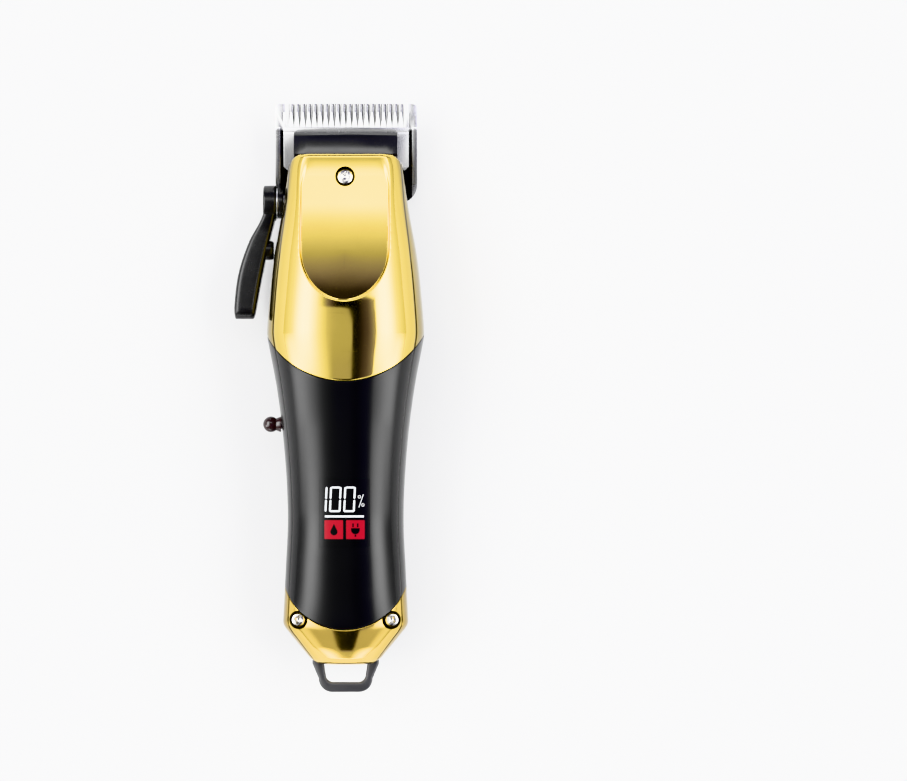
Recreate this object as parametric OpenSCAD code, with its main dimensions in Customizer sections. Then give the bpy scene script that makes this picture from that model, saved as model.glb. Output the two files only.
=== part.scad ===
// Cordless hair clipper with a side taper lever, lying on its back: X is its width, +Y points to the blade,
// +Z points up through the lid. The origin is the centre of the flat that it rests on.

/* [Body] */
// Width at the widest place, at the end of the lid's sides
hump_w = 51.2; // [50.8:0.2:52]
// Width at the waist
waist_w = 37.4; // [37:0.2:38.4]
// Width across the tail
tail_w = 40.8; // [40.4:0.2:41.6]
// Height of the hump
hump_h = 41.5; // [41:0.5:43]
// Height over the display
waist_h = 33.6; // [33.2:0.2:34.4]
// Wall of the shells
wall = 2; // [1.8:0.1:2.1]
// Open line between two shells
shut_gap = 0.15; // [0.1:0.05:0.2]

/* [Blade] */
// Width of the fixed blade
blade_w = 46; // [45.6:0.1:46.4]
// Number of gaps between the fixed teeth
gap_count = 21; // [17:2:23]
// Distance from one tooth to the next
tooth_pitch = 1.87; // [1.8:0.01:1.9]
// Tilt of the blade against the flat underside
blade_tilt = 12; // [11:0.5:12]
// Half of the cutter's side to side stroke
half_stroke = 1; // [0.8:0.05:1]

/* [Taper lever] */
// Angle that the lever turns through
lever_turn = 34; // [30:1:34]
// Distance from the lever's axis to its eccentric pin
lever_throw = 2.8; // [2.6:0.1:2.9]
// Radius of the lever's hub
hub_r = 5.8; // [5.5:0.1:6]

/* [Power switch] */
// Diameter of the knob's ball end
knob_d = 5.1; // [4.8:0.1:5.4]
// Travel of the power switch
switch_travel = 3; // [2:0.5:3]

/* [Motor and cell] */
// Diameter of the motor can
motor_d = 20.4; // [20:0.1:20.6]
// Length of the motor can
motor_l = 25; // [23:0.5:25.5]
// Diameter of the rechargeable cell
cell_d = 18.4; // [18:0.1:18.4]
// Length of the rechargeable cell
cell_l = 65; // [60:1:65]

/* [Hidden] */
$fn = 48;

// Shell surface. Every cross-section is a superellipse about the parting plane.
part_z = 17;
roundness = 2.6;
tail_y = -86.1;
tail_corner_y = -73.5;
seam_side_y = 20.2;
seam_mid_y = 5.2;
cap_side_y = -60.9;
cap_mid_y = -74.5;
lid_end_y = 78.1;
housing_end_y = 69;
tail_end_hw = 10;
side_line = [
    [tail_corner_y, tail_w / 2 - 0.1], [-56, tail_w / 2 - 1], [-38, waist_w / 2],
    [-17, waist_w / 2 + 1.1], [2, hump_w / 2 - 3.5], [seam_side_y, hump_w / 2 - 0.1]
];
lid_line = [[seam_side_y, hump_w / 2], [43, 23.4], [62, 20.1], [74, 18.5], [lid_end_y, 17.4]];
top_line = [
    [tail_y, 25], [-80, 29.4], [-70, 31.8], [-52, 32.9], [-36, waist_h], [-10, 36.6], [12, hump_h - 1],
    [28, hump_h], [36, hump_h - 0.5], [47, hump_h - 3.1], [60, hump_h - 7.2], [lid_end_y, hump_h - 13.4]
];
bottom_line = [[tail_y, 8], [-77, 3], [-62, 0], [-48, -0.8], [45, -0.8], [54, 0.5], [70, 5]];

// The thumb facet is a plane that slopes down from the hump to the lid's front edge.
facet_y = 30.7;
facet_slope = 0.34;
function facet_z(y) = hump_h - 0.2 - facet_slope * (y - facet_y);

function slope(p, i) =
    i == 0 ? (p[1][1] - p[0][1]) / (p[1][0] - p[0][0])
    : i == len(p) - 1 ? (p[i][1] - p[i - 1][1]) / (p[i][0] - p[i - 1][0])
    : (p[i + 1][1] - p[i - 1][1]) / (p[i + 1][0] - p[i - 1][0]);
function span(p, y, i = 0) = (i >= len(p) - 2 || y <= p[i + 1][0]) ? i : span(p, y, i + 1);
// Smooth curve through points [y, value]
function curve(p, y) =
    let (i = span(p, y), h = p[i + 1][0] - p[i][0], t = (y - p[i][0]) / h)
    p[i][1] * (1 + 2 * t) * (1 - t) * (1 - t) + slope(p, i) * h * t * (1 - t) * (1 - t)
    + p[i + 1][1] * t * t * (3 - 2 * t) + slope(p, i + 1) * h * t * t * (t - 1);
function half_w(y) =
    y < tail_corner_y
    ? tail_end_hw + (y - tail_y) * (tail_w / 2 - 0.1 - tail_end_hw) / (tail_corner_y - tail_y)
    : y < seam_side_y ? curve(side_line, y) : curve(lid_line, y);
function top_z(y) = curve(top_line, y);
function bottom_z(y) = curve(bottom_line, y);
function power(v, e) = sign(v) * pow(abs(v), e);
// Point of the body's surface at angle a of the section at y, set in by d
function skin(a, y, d) =
    let (
        x = (half_w(y) - d) * power(cos(a), 2 / roundness),
        up = a <= 180,
        reach = up ? top_z(y) - part_z - d : part_z - bottom_z(y) - d,
        z = part_z + reach * power(sin(a), 2 / roundness)
    )
    [x, y, up && y > facet_y ? min(z, facet_z(y) - d * 1.06) : z];

// Seams between the shells, as arcs seen from above
function seam_y(x, side_y, mid_y, half) =
    let (sag = side_y - mid_y, r = (half * half + sag * sag) / (2 * sag))
    mid_y + r - sqrt(max(r * r - x * x, 0));
function lid_seam(x) = seam_y(x, seam_side_y, seam_mid_y, hump_w / 2);
function cap_seam(x) = seam_y(x, cap_side_y, cap_mid_y, tail_w / 2 - 0.7);
// y where the ray of angle a meets seam number s, found by stepping back and forth between the two
function seam_at(a, s, y, n = 6) =
    n == 0 ? y
    : let (x = min(abs(skin(a, y, 0)[0]), s == 0 ? hump_w / 2 : tail_w / 2 - 0.7))
    seam_at(a, s, s == 0 ? lid_seam(x) : cap_seam(x), n - 1);

// Closed shell between angles a0 and a1. starts and ends hold one y for each of its lines of points.
module shell(a0, a1, starts, ends, rows, thick, capped = false) {
    cols = len(starts) - 1;
    span_cols = cols + 1;
    outer = [
        for (j = [0:rows], i = [0:cols])
            skin(a0 + (a1 - a0) * i / cols, starts[i] + (ends[i] - starts[i]) * j / rows, 0)
    ];
    inner = [
        for (j = [0:rows], i = [0:cols])
            let (inset = capped ? thick * (1 - j / rows) : 0)
            skin(
                a0 + (a1 - a0) * i / cols,
                starts[i] + inset + (ends[i] - starts[i] - inset) * j / rows, thick
            )
    ];
    n = span_cols * (rows + 1);
    tips = capped ? [[0, starts[0], part_z], [0, starts[0] + thick, part_z]] : [];
    function at(j, i) = j * span_cols + i;
    skin_faces = [
        for (j = [0:rows - 1], i = [0:cols - 1]) each [
            [at(j, i), at(j, i + 1), at(j + 1, i)],
            [at(j, i + 1), at(j + 1, i + 1), at(j + 1, i)],
            [n + at(j, i), n + at(j + 1, i), n + at(j, i + 1)],
            [n + at(j, i + 1), n + at(j + 1, i), n + at(j + 1, i + 1)]
        ]
    ];
    side_faces = [
        for (j = [0:rows - 1]) each [
            [at(j, 0), at(j + 1, 0), n + at(j, 0)],
            [n + at(j, 0), at(j + 1, 0), n + at(j + 1, 0)],
            [at(j, cols), n + at(j, cols), at(j + 1, cols)],
            [n + at(j, cols), n + at(j + 1, cols), at(j + 1, cols)]
        ]
    ];
    end_faces = [
        for (i = [0:cols - 1]) each [
            [at(rows, i), at(rows, i + 1), n + at(rows, i)],
            [n + at(rows, i), at(rows, i + 1), n + at(rows, i + 1)]
        ]
    ];
    open_faces = capped ? [] : [
        for (i = [0:cols - 1]) each [
            [at(0, i), n + at(0, i), at(0, i + 1)],
            [n + at(0, i), n + at(0, i + 1), at(0, i + 1)]
        ]
    ];
    cap_faces = !capped ? [] : concat(
        [for (i = [0:cols - 1]) each [[at(0, i), 2 * n, at(0, i + 1)], [n + at(0, i), n + at(0, i + 1), 2 * n + 1]]],
        [
            [at(0, 0), n + at(0, 0), 2 * n],
            [n + at(0, 0), 2 * n + 1, 2 * n],
            [at(0, cols), 2 * n, n + at(0, cols)],
            [n + at(0, cols), 2 * n, 2 * n + 1]
        ]
    );
    polyhedron(
        points = concat(outer, inner, tips),
        faces = concat(skin_faces, side_faces, end_faces, open_faces, cap_faces)
    );
}

top_cols = 22;
lid_starts = [for (i = [0:top_cols]) seam_at(180 * i / top_cols, 0, 12)];
cap_ends = [for (i = [0:top_cols]) seam_at(180 * i / top_cols, 1, -66) - shut_gap];
function level(y, cols) = [for (i = [0:cols]) y];

// Places of the fasteners and bosses
lid_screw_y = 70.9;
tail_screw = [14.9, -71.5];
tail_seat_z = 25.2;
housing_screw = [14, 13];
board_posts = [[11.5, -56, 2.7], [11.5, 5, 2.1]];
board_z = 23;
board_t = 1.6;
board_hw = 13.4;
bracket_foot = [11.5, 52];
foot_z = 5.6;

// Display
window_hw = 8;
window_y = [-48, -26];
window_t = 1.4;
display_top = 30.6;

// Blade frame: local y runs along the blade to its tips, local z is its normal
heel_y = 62;
heel_z = 3.5;
blade_t = 2.6;
heel_u = 1.6;
tip_u = 34.2;
cutter_u = 12.7;
cutter_tip_u = 31.5;
cutter_valley_u = 27;
strip_u = 25.3;
cutter_t = 1.7;
rail_x = 21.4;
rail_u = 8;
blade_screw_x = 11;
blade_screw_u = 5.5;
blade_gap = 0.05;
module on_blade() translate([0, heel_y, heel_z]) rotate([blade_tilt, 0, 0]) children();

// Lever
hub_y = 62.7;
hub_z = 11.4;
shaft_r = 3;
pin_r = 1.2;
hub_face_x = -26.8;
hub_back_x = -22.6;
collar_face_x = -20.2;
shaft_end_x = -14.6;
lever_rest = -7;
// The lever's axis in the blade frame
hub_u = (hub_y - heel_y) * cos(blade_tilt) + (hub_z - heel_z) * sin(blade_tilt);
hub_n = -(hub_y - heel_y) * sin(blade_tilt) + (hub_z - heel_z) * cos(blade_tilt);
throw_angle = lever_turn / 2;
pin_u = hub_u - lever_throw * sin(throw_angle);
pin_n = hub_n + lever_throw * cos(throw_angle);

// Motor
axis_z = 14.5;
motor_y = 22;
pin_tip_y = 65;
cam_y = 51.5;
cam_l = 5.5;

// Power switch
switch_y = -8.9;
switch_z = 13.6;
knob_x = -24.3;
knob_neck_r = 1.95;
knob_base_r = 2.6;
knob_base_x = -21;
knob_stem_r = 1.5;
knob_end_x = -15.6;

// A side view outline, given as [y, z], made w wide across the middle plane
module from_side(w) rotate([90, 0, 90]) linear_extrude(w, center = true) children();
// A cylinder along X from x0 to x1
module along_x(x0, x1, r) translate([x0, 0, 0]) rotate([0, 90, 0]) cylinder(r = r, h = x1 - x0);
// A cylinder along Y from y0 to y1
module along_y(y0, y1, r) translate([0, y1, 0]) rotate([90, 0, 0]) cylinder(r = r, h = y1 - y0);
module both_sides() {
    children();
    mirror([1, 0, 0]) children();
}
module on_facet() translate([0, lid_screw_y, facet_z(lid_screw_y)]) rotate([-atan(facet_slope), 0, 0]) children();
// Pan head with a cross recess; its top is at z = 0 and the shank goes down
module pan_screw(head_r, head_h, shank_r, shank_l) {
    difference() {
        union() {
            translate([0, 0, -head_h]) cylinder(r = head_r, h = head_h * 0.6);
            translate([0, 0, -head_h * 0.4]) cylinder(r1 = head_r, r2 = head_r * 0.7, h = head_h * 0.4);
        }
        for (turn = [0, 90])
            rotate([0, 0, turn]) translate([-head_r * 0.5, -0.3, -head_h * 0.5]) cube([head_r, 0.6, head_h]);
    }
    translate([0, 0, -head_h - shank_l]) cylinder(r = shank_r, h = shank_l);
}

module lid() color("gold") difference() {
    union() {
        shell(0, 180, lid_starts, level(lid_end_y, top_cols), 16, wall);
        on_facet() translate([0, 0, -3.4]) cylinder(r = 4.6, h = 2.2);
        // Rear bosses that the housing's long screws go into
        both_sides() translate([housing_screw[0], housing_screw[1], part_z]) cylinder(r = 2.8, h = 19.2);
    }
    on_facet() translate([0, 0, -1.8]) cylinder(r = 3.2, h = 5);
    on_facet() translate([0, 0, -5]) cylinder(r = 1.7, h = 5);
    both_sides() translate([housing_screw[0], housing_screw[1], part_z - 1]) cylinder(r = 1.25, h = 9);
}

module front_shell() color("black") difference() {
    shell(0, 180, [for (y = cap_ends) y + shut_gap], [for (y = lid_starts) y - shut_gap], 16, wall);
    translate([-window_hw - 0.1, window_y[0] - 0.1, 25])
        cube([2 * window_hw + 0.2, window_y[1] - window_y[0] + 0.2, 20]);
}

module tail_cap() color("gold") difference() {
    union() {
        shell(0, 180, level(tail_y, top_cols), cap_ends, 7, wall, true);
        both_sides() translate([tail_screw[0], tail_screw[1], part_z]) cylinder(r = 3.4, h = tail_seat_z - part_z);
    }
    both_sides() translate([tail_screw[0], tail_screw[1], tail_seat_z]) cylinder(r = 3, h = 9);
    both_sides() translate([tail_screw[0], tail_screw[1], part_z - 1]) cylinder(r = 1.5, h = 12);
    loop_tabs(0.1);
}

module rear_housing() color("dimgray") difference() {
    union() {
        shell(180, 360, level(tail_y, 24), level(housing_end_y, 24), 30, wall, true);
        on_blade() both_sides() translate([8.2, -3, blade_t + blade_gap]) cube([5.6, 12, 2.4]);
        both_sides() translate([housing_screw[0], housing_screw[1], 2]) cylinder(r = 3, h = part_z - 2);
        both_sides() translate([tail_screw[0], tail_screw[1], 10]) cylinder(r = 3, h = part_z - 10);
        both_sides() translate([bracket_foot[0], bracket_foot[1], 2.6]) cylinder(r = 2.6, h = foot_z - 2.6);
        for (p = board_posts)
            both_sides() translate([p[0], p[1], p[2]]) cylinder(r = 1.9, h = board_z - p[2]);
        translate([0, hub_y, hub_z]) along_x(collar_face_x + 0.05, -17, 5.4);
    }
    translate([-60, -100, -10]) cube([120, 200, 10]);
    on_blade() translate([-30, heel_u - 0.3, -12]) cube([60, 50, 12 + blade_t + blade_gap]);
    translate([0, hub_y, hub_z]) along_x(-30, -10, shaft_r + 0.05);
    translate([0, hub_y, hub_z]) along_x(shaft_end_x - 1.1, -14, shaft_r + 0.7);
    translate([0, hub_y, hub_z]) along_x(-30, collar_face_x + 0.05, hub_r + 0.2);
    both_sides() on_blade() translate([blade_screw_x, blade_screw_u, 0]) cylinder(r = 1.35, h = 4.6);
    both_sides() on_blade() translate([slide_screw_x, slide_screw_u, 3]) cylinder(r = 1.25, h = 6);
    both_sides() translate([housing_screw[0], housing_screw[1], -1]) cylinder(r = 2.7, h = 4);
    both_sides() translate([housing_screw[0], housing_screw[1], -1]) cylinder(r = 1.6, h = 30);
    both_sides() translate([tail_screw[0], tail_screw[1], 11]) cylinder(r = 1.2, h = 30);
    both_sides() translate([bracket_foot[0], bracket_foot[1], 3.4]) cylinder(r = 1.05, h = 9);
    for (p = board_posts)
        both_sides() translate([p[0], p[1], 12]) cylinder(r = 0.9, h = 30);
    // Slot for the power knob's stem
    translate([0, switch_y, switch_z]) along_x(-30, -16, 1.6);
    translate([0, switch_y - switch_travel, switch_z]) along_x(-30, -16, 1.6);
    translate([-30, switch_y - switch_travel, switch_z - 1.6]) cube([14, switch_travel, 3.2]);
    // Socket opening
    socket_opening(tail_y - 1, tail_y + 4, 0.15);
    loop_tabs(0.1);
}

// Rounded slot for the charging socket, from y0 to y1
port_z = 11.5;
port_hw = 4.5;
port_hh = 1.65;
module socket_opening(y0, y1, grow) translate([0, 0, port_z]) {
    for (side = [-1, 1])
        translate([side * (port_hw - port_hh), 0, 0]) along_y(y0, y1, port_hh + grow);
    translate([port_hh - port_hw, y0, -port_hh - grow])
        cube([2 * (port_hw - port_hh), y1 - y0, 2 * (port_hh + grow)]);
}

// The loop's two arms where they pass between the shells
loop_t = 3.2;
module loop_tabs(grow) both_sides()
    translate([7 - grow, tail_y - 4, part_z - loop_t / 2 - grow]) cube([3.8 + 2 * grow, 7.9, loop_t + 2 * grow]);

module hanging_loop() color("dimgray") translate([0, 0, part_z - loop_t / 2]) linear_extrude(loop_t) {
    arc_r = 4.6;
    slot_r = 2.3;
    difference() {
        polygon(concat(
            [[-10.8, tail_y + 3.8], [10.8, tail_y + 3.8], [10.7, tail_y]],
            [for (a = [0:15:75]) [4.2 + arc_r * cos(a), -90.9 - arc_r * sin(a)]],
            [for (a = [75:-15:0]) [-4.2 - arc_r * cos(a), -90.9 - arc_r * sin(a)]],
            [[-10.7, tail_y]]
        ));
        polygon(concat(
            [[-7, tail_y + 5], [7, tail_y + 5], [7, tail_y]],
            [for (a = [0:15:90]) [4.3 + slot_r * cos(a), -89.8 - slot_r * sin(a)]],
            [for (a = [90:-15:0]) [-4.3 - slot_r * cos(a), -89.8 - slot_r * sin(a)]],
            [[-7, tail_y]]
        ));
    }
}

// Dark nose between the lid's front edge and the cutter
nose_hw = 16.7;
nose_wall = 1.8;
nose_y = 85.5;
module nose_guard() color("#222428") difference() {
    edge_y0 = housing_end_y + 0.2;
    edge_z0 = 10.2;
    edge_z1 = edge_z0 + (nose_y - edge_y0) * tan(blade_tilt);
    union() {
        // Front cap with its two side skirts
        difference() {
            from_side(2 * nose_hw) polygon([
                [edge_y0, edge_z0], [edge_y0, part_z - 0.1], [lid_end_y + 0.2, part_z - 0.1], [lid_end_y + 0.2, 22.6],
                [81, 21.6], [83.4, 20.1], [84.9, 18.4], [nose_y, 16.8], [nose_y, edge_z1]
            ]);
            from_side(2 * (nose_hw - nose_wall)) polygon([
                [edge_y0 - 1, edge_z0 - 3], [edge_y0 - 1, 18], [lid_end_y - 1, 20.6], [80.4, 19.8],
                [82.5, 18.5], [nose_y - nose_wall, 16.6], [nose_y - nose_wall, edge_z1 - 3]
            ]);
        }
        // Tongue under the lid, with the boss that the lid's screw goes into
        on_facet() translate([-14.2, -5, -5.3]) cube([28.4, 15.5, 1.8]);
        on_facet() translate([0, 0, -7.3]) cylinder(r = 3, h = 3);
    }
    on_facet() translate([0, 0, -9]) cylinder(r = 1.25, h = 9);
}

// Comb outline: the back edge is given as points, then teeth run from +X to -X
function comb(back, half, count, pitch, root_u, end_u, root_gap, tip_gap) = concat(
    back,
    [[half, end_u]],
    [
        for (i = [0:count - 1]) let (x = (count - 1) / 2 * pitch - i * pitch) each [
            [x + tip_gap / 2, end_u], [x + root_gap / 2, root_u], [x - root_gap / 2, root_u], [x - tip_gap / 2, end_u]
        ]
    ],
    [[-half, end_u]]
);

module stationary_blade() color("silver") on_blade() difference() {
    corner_r = 6;
    half = blade_w / 2;
    back = concat(
        [for (a = [180:15:270]) [corner_r - half + corner_r * cos(a), heel_u + corner_r + corner_r * sin(a)]],
        [for (a = [270:15:360]) [half - corner_r + corner_r * cos(a), heel_u + corner_r + corner_r * sin(a)]],
        [[half, tip_u - 1.5]]
    );
    union() {
        linear_extrude(blade_t)
            polygon(comb(back, half - 1.2, gap_count, tooth_pitch, cutter_valley_u, tip_u, 0.5, 0.95));
        both_sides() translate([rail_x, rail_u, 0]) cube([half - rail_x, cutter_valley_u - rail_u, blade_t + 1.2]);
    }
    both_sides() translate([blade_screw_x, blade_screw_u, -1]) cylinder(r = 1.6, h = 9);
    both_sides() translate([blade_screw_x, blade_screw_u, -1]) cylinder(r = 2.8, h = 1.9);
    // Bevel on the skin side
    translate([-30, 20, -6]) rotate([7.5, 0, 0]) cube([60, 20, 6.02]);
}

module blade_screws() color("silver") on_blade() both_sides()
    translate([blade_screw_x, blade_screw_u, 0.1]) rotate([180, 0, 0]) pan_screw(2.6, 0.8, 1.3, 3.6);

module cutter_blade() color("gainsboro") on_blade() translate([0, 0, blade_t + blade_gap]) {
    half = 20.3;
    chamfer = 1.2;
    tip_t = 0.8;
    difference() {
        union() {
            linear_extrude(cutter_t) polygon([
                [-half, cutter_u + chamfer], [chamfer - half, cutter_u], [half - chamfer, cutter_u],
                [half, cutter_u + chamfer], [half, strip_u + 0.1], [-half, strip_u + 0.1]
            ]);
            difference() {
                linear_extrude(cutter_t + 0.5) polygon(comb(
                    [[-half, strip_u], [half, strip_u]], half, gap_count, tooth_pitch,
                    cutter_valley_u, cutter_tip_u, 0.2, 1.4
                ));
                translate([-30, cutter_valley_u - 0.3, cutter_t + 0.5])
                    rotate([-atan((cutter_t + 0.5 - tip_t) / 4.8), 0, 0]) cube([60, 20, 9]);
            }
        }
        both_sides() translate([4, 17, -1]) cylinder(r = 1, h = 9);
    }
}

driver_base_h = 2.6;
// The fork and its base, which carry the cutter from side to side
module cutter_driver() color("white") {
    top_n = blade_t + blade_gap + cutter_t;
    difference() {
        union() {
            on_blade() translate([-6, 13.5, top_n + 0.02]) cube([12, 7.5, driver_base_h]);
            from_side(11) polygon([
                [66.8, 12.7], [66.8, 19], [69.6, 19], [75.6, 14.6], [75.6, 13.4], [73.2, 12.4], [70, 12.4]
            ]);
            both_sides() translate([3.1, 60.2, 11.8]) cube([2.4, 7, 7.2]);
        }
    }
    on_blade() both_sides() translate([4, 17, blade_t + blade_gap + 0.1]) cylinder(r = 0.95, h = 2.5);
}

plate_n = 5.6;
plate_t = 2;
plate_u = -2.6;
plate_end_u = 9.2;
stake_x = 10.4;
stake_u = 7;
module taper_slide() color("slategray") on_blade() difference() {
    union() {
        translate([-14.2, plate_u, plate_n]) cube([27.4, 2.8, plate_t]);
        translate([-14.2, plate_u, plate_n]) cube([6.6, plate_end_u - plate_u, plate_t]);
        translate([7.6, plate_u, plate_n]) cube([5.6, plate_end_u - plate_u, plate_t]);
        // Slotted ear for the lever's eccentric pin
        translate([-14.5, pin_u - 2.6, plate_n]) cube([2.6, 5.2, pin_n + 1.5 - plate_n]);
        // Stakes that hold the spring
        both_sides() translate([stake_x, stake_u, plate_n]) cylinder(r = 0.9, h = plate_t + 1);
    }
    translate([-15, pin_u - pin_r - 0.05, plate_n + plate_t + 0.3]) cube([5, 2 * pin_r + 0.1, 9]);
    // Long holes round the shoulder screws
    both_sides() for (du = [-0.1, 1.9])
        translate([slide_screw_x, slide_screw_u - du, 0]) cylinder(r = 1.35, h = 20);
    both_sides() translate([slide_screw_x - 1.35, slide_screw_u - 1.9, 0]) cube([2.7, 2, 20]);
}
slide_screw_x = 10;
slide_screw_u = 1;
module slide_screws() color("silver") on_blade() both_sides()
    translate([slide_screw_x, slide_screw_u, plate_n + plate_t + 1.15]) pan_screw(1.9, 1.1, 1.2, 4.4);

// Flat spring, staked to the slide, that presses the driver and the cutter down on the fixed blade
module tension_spring() color("silver") on_blade() difference() {
    strip_t = 0.5;
    tab_n = plate_n + plate_t + 0.02;
    press_n = blade_t + blade_gap + cutter_t + driver_base_h + 0.07;
    arm_x = 8.4;
    arm_w = 4;
    from_side(2 * (arm_x + arm_w)) polygon([
        [5, tab_n], [9, tab_n], [16, press_n], [20, press_n],
        [20, press_n + strip_t], [16, press_n + strip_t], [9, tab_n + strip_t], [5, tab_n + strip_t]
    ]);
    translate([-arm_x, 0, 0]) cube([2 * arm_x, 17, 20]);
    both_sides() translate([stake_x, stake_u, 0]) cylinder(r = 0.95, h = 20);
}

// Everything on the lever turns about this place
module on_lever() translate([0, hub_y, hub_z]) rotate([lever_rest, 0, 0]) children();

lever_h = 7;
module taper_lever() color("#1a1a1a") on_lever() difference() {
    union() {
        along_x(hub_face_x, hub_back_x, hub_r);
        // The arm as seen from above, cut to a rounded bar
        intersection() {
            translate([0, 0, -lever_h / 2]) linear_extrude(lever_h) translate([0, -hub_y])
                polygon(concat(
                    [for (t = [0:0.1:1]) curve_between(outer_edge, t)],
                    [for (t = [1:-0.1:0]) curve_between(inner_edge, t)]
                ));
            rotate([0, -90, 0]) linear_extrude(60) polygon(concat(
                [[-hub_r + 0.4, 0], [hub_r - 0.4, 0], [lever_h / 2, -9], [lever_h / 2, -34.8]],
                [for (a = [75:-15:-75]) [lever_h / 2 * sin(a), -34.8 - 3 * cos(a)]],
                [[-lever_h / 2, -34.8], [-lever_h / 2, -9]]
            ));
        }
        translate([0, 47.3 - hub_y, 0]) along_x(-30, -23.4, 3.1);
    }
    along_x(hub_back_x - 2.6, 0, shaft_r + 0.02);
    along_x(-40, 0, 1.6);
    along_x(-40, hub_face_x + 1.6, 3);
}
outer_edge = [[hub_face_x, 66], [-27, 58.6], [-31.4, 49.9], [-34.7, 39.8], [-36, 29.6], [-35.9, 24]];
inner_edge = [[hub_back_x, 66], [-22.8, 58.6], [-24.7, 50.3], [-27.2, 38], [-29, 27.5], [-29.7, 24]];
// Point of the curve through points p at t from 0 to 1, with y as its length
function curve_between(p, t) =
    let (y = p[0][1] + (p[len(p) - 1][1] - p[0][1]) * t, up = [for (q = p) [-q[1], q[0]]])
    [curve(up, -y), y];

module lever_shaft() color("silver") on_lever() difference() {
    union() {
        along_x(hub_back_x - 2.5, shaft_end_x, shaft_r);
        along_x(shaft_end_x - 1, shaft_end_x, shaft_r + 0.5);
        rotate([-lever_rest, 0, 0]) rotate([blade_tilt + throw_angle, 0, 0]) translate([0, 0, lever_throw])
            along_x(shaft_end_x - 0.5, -12.2, pin_r);
    }
    along_x(-30, -17.5, 1.25);
}

module lever_screw() color("silver") on_lever() translate([hub_face_x + 0.3, 0, 0]) rotate([0, -90, 0])
    pan_screw(2.8, 1.25, 1.25, 6);

module lever_washer() color("silver") translate([0, hub_y, hub_z]) difference() {
    along_x(collar_face_x - 2.35, collar_face_x - 1.85, 5);
    along_x(-30, 0, shaft_r + 0.05);
}

module lever_collar() color("#1a1a1a") translate([0, hub_y, hub_z]) difference() {
    along_x(collar_face_x - 1.8, collar_face_x, hub_r - 0.9);
    along_x(-30, 0, shaft_r + 0.05);
}

module motor_can() color("silver") translate([0, 0, axis_z]) difference() {
    along_y(motor_y, motor_y + motor_l, motor_d / 2);
    along_y(motor_y - 1, motor_y + motor_l - 1, motor_d / 2 - 0.8);
    along_y(motor_y, motor_y + motor_l + 1, 3);
}

module motor_end_cap() color("white") translate([0, 0, axis_z]) difference() {
    union() {
        along_y(motor_y - 2.5, motor_y, motor_d / 2 - 0.2);
        along_y(motor_y - 3.5, motor_y - 2.4, 3);
        both_sides() translate([5, motor_y - 5, -1.2]) cube([0.5, 3, 2.4]);
    }
    along_y(motor_y - 9, motor_y + 1, 1.05);
}

module motor_bush() color("goldenrod") translate([0, 0, axis_z]) difference() {
    along_y(motor_y + motor_l - 2, motor_y + motor_l + 2, 3);
    along_y(0, 90, 1.05);
}

module motor_sleeve() color("#303030") translate([0, 0, axis_z]) difference() {
    along_y(motor_y + 6, motor_y + 19, motor_d / 2 + 1.4);
    along_y(0, 90, motor_d / 2);
}

module motor_bracket() color("gray") difference() {
    y0 = motor_y + motor_l;
    union() {
        translate([0, 0, axis_z]) along_y(y0, y0 + 1.6, motor_d / 2 + 0.6);
        translate([-14, y0, foot_z]) cube([28, 1.6, 7]);
        both_sides() translate([9, y0, foot_z]) cube([5, 7.6, 1.6]);
    }
    translate([0, 0, axis_z]) along_y(y0 - 1, y0 + 3, 3);
    both_sides() translate([bracket_foot[0], bracket_foot[1], 0]) cylinder(r = 1.3, h = 9);
    for (side = [-1, 1]) translate([0, 0, axis_z + side * 6.5]) along_y(y0 - 1, y0 + 3, 1.1);
}

module bracket_screws() color("silver") {
    both_sides() translate([bracket_foot[0], bracket_foot[1], foot_z + 1.6 + 1.2]) pan_screw(2.2, 1.2, 1, 3.2);
    for (side = [-1, 1])
        translate([0, motor_y + motor_l + 1.6 + 0.9, axis_z + side * 6.5]) rotate([-90, 0, 0])
            pan_screw(1.7, 0.9, 0.9, 1.6);
}

module motor_shaft() color("lightgray") translate([0, 0, axis_z]) union() {
    along_y(motor_y - 3, cam_y + 3.4, 1);
    along_y(motor_y + 2, motor_y + motor_l - 3.5, 7);
}

module eccentric_cam() color("white") translate([0, 0, axis_z]) difference() {
    along_y(cam_y, cam_y + cam_l, 4.4);
    along_y(cam_y - 1, cam_y + 3.4, 1);
    translate([0, 0, -half_stroke]) along_y(cam_y + 3.5, cam_y + cam_l + 1, 1);
}

module drive_pin() color("silver") translate([0, 0, axis_z - half_stroke]) along_y(cam_y + 3.5, pin_tip_y, 1);

// Ball ended knob on a stem through the housing's side, turned in one piece about X
module switch_knob() color("#140808") translate([0, switch_y, switch_z]) rotate([0, 90, 0])
    rotate_extrude() polygon(concat(
        [for (a = [-90:15:30]) [knob_d / 2 * cos(a), knob_x + knob_d / 2 * sin(a)]],
        [
            [knob_neck_r, knob_x + sqrt(knob_d * knob_d / 4 - knob_neck_r * knob_neck_r)],
            [knob_base_r, knob_base_x], [knob_stem_r, knob_base_x],
            [knob_stem_r, knob_end_x], [0, knob_end_x]
        ]
    ));

module switch_slider() color("white") translate([-15.4, switch_y - 2, switch_z - 2]) difference() {
    cube([2, 4, 4]);
    translate([-1, 2, 2]) rotate([0, 90, 0]) cylinder(r = knob_stem_r + 0.02, h = 1);
}

module switch_body() color("silver") difference() {
    translate([-13.35, switch_y - 4 - switch_travel, switch_z - 3]) cube([3.3, 8 + switch_travel, 6]);
    translate([-14, switch_y - 2.2 - switch_travel, switch_z - 2.2]) cube([0.9, 4.4 + switch_travel, 4.4]);
}

module main_board() color("darkgreen") difference() {
    translate([-board_hw, -61, board_z]) cube([2 * board_hw, 70, board_t]);
    for (p = board_posts)
        both_sides() translate([p[0], p[1], 0]) cylinder(r = 1.2, h = 40);
}

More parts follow.
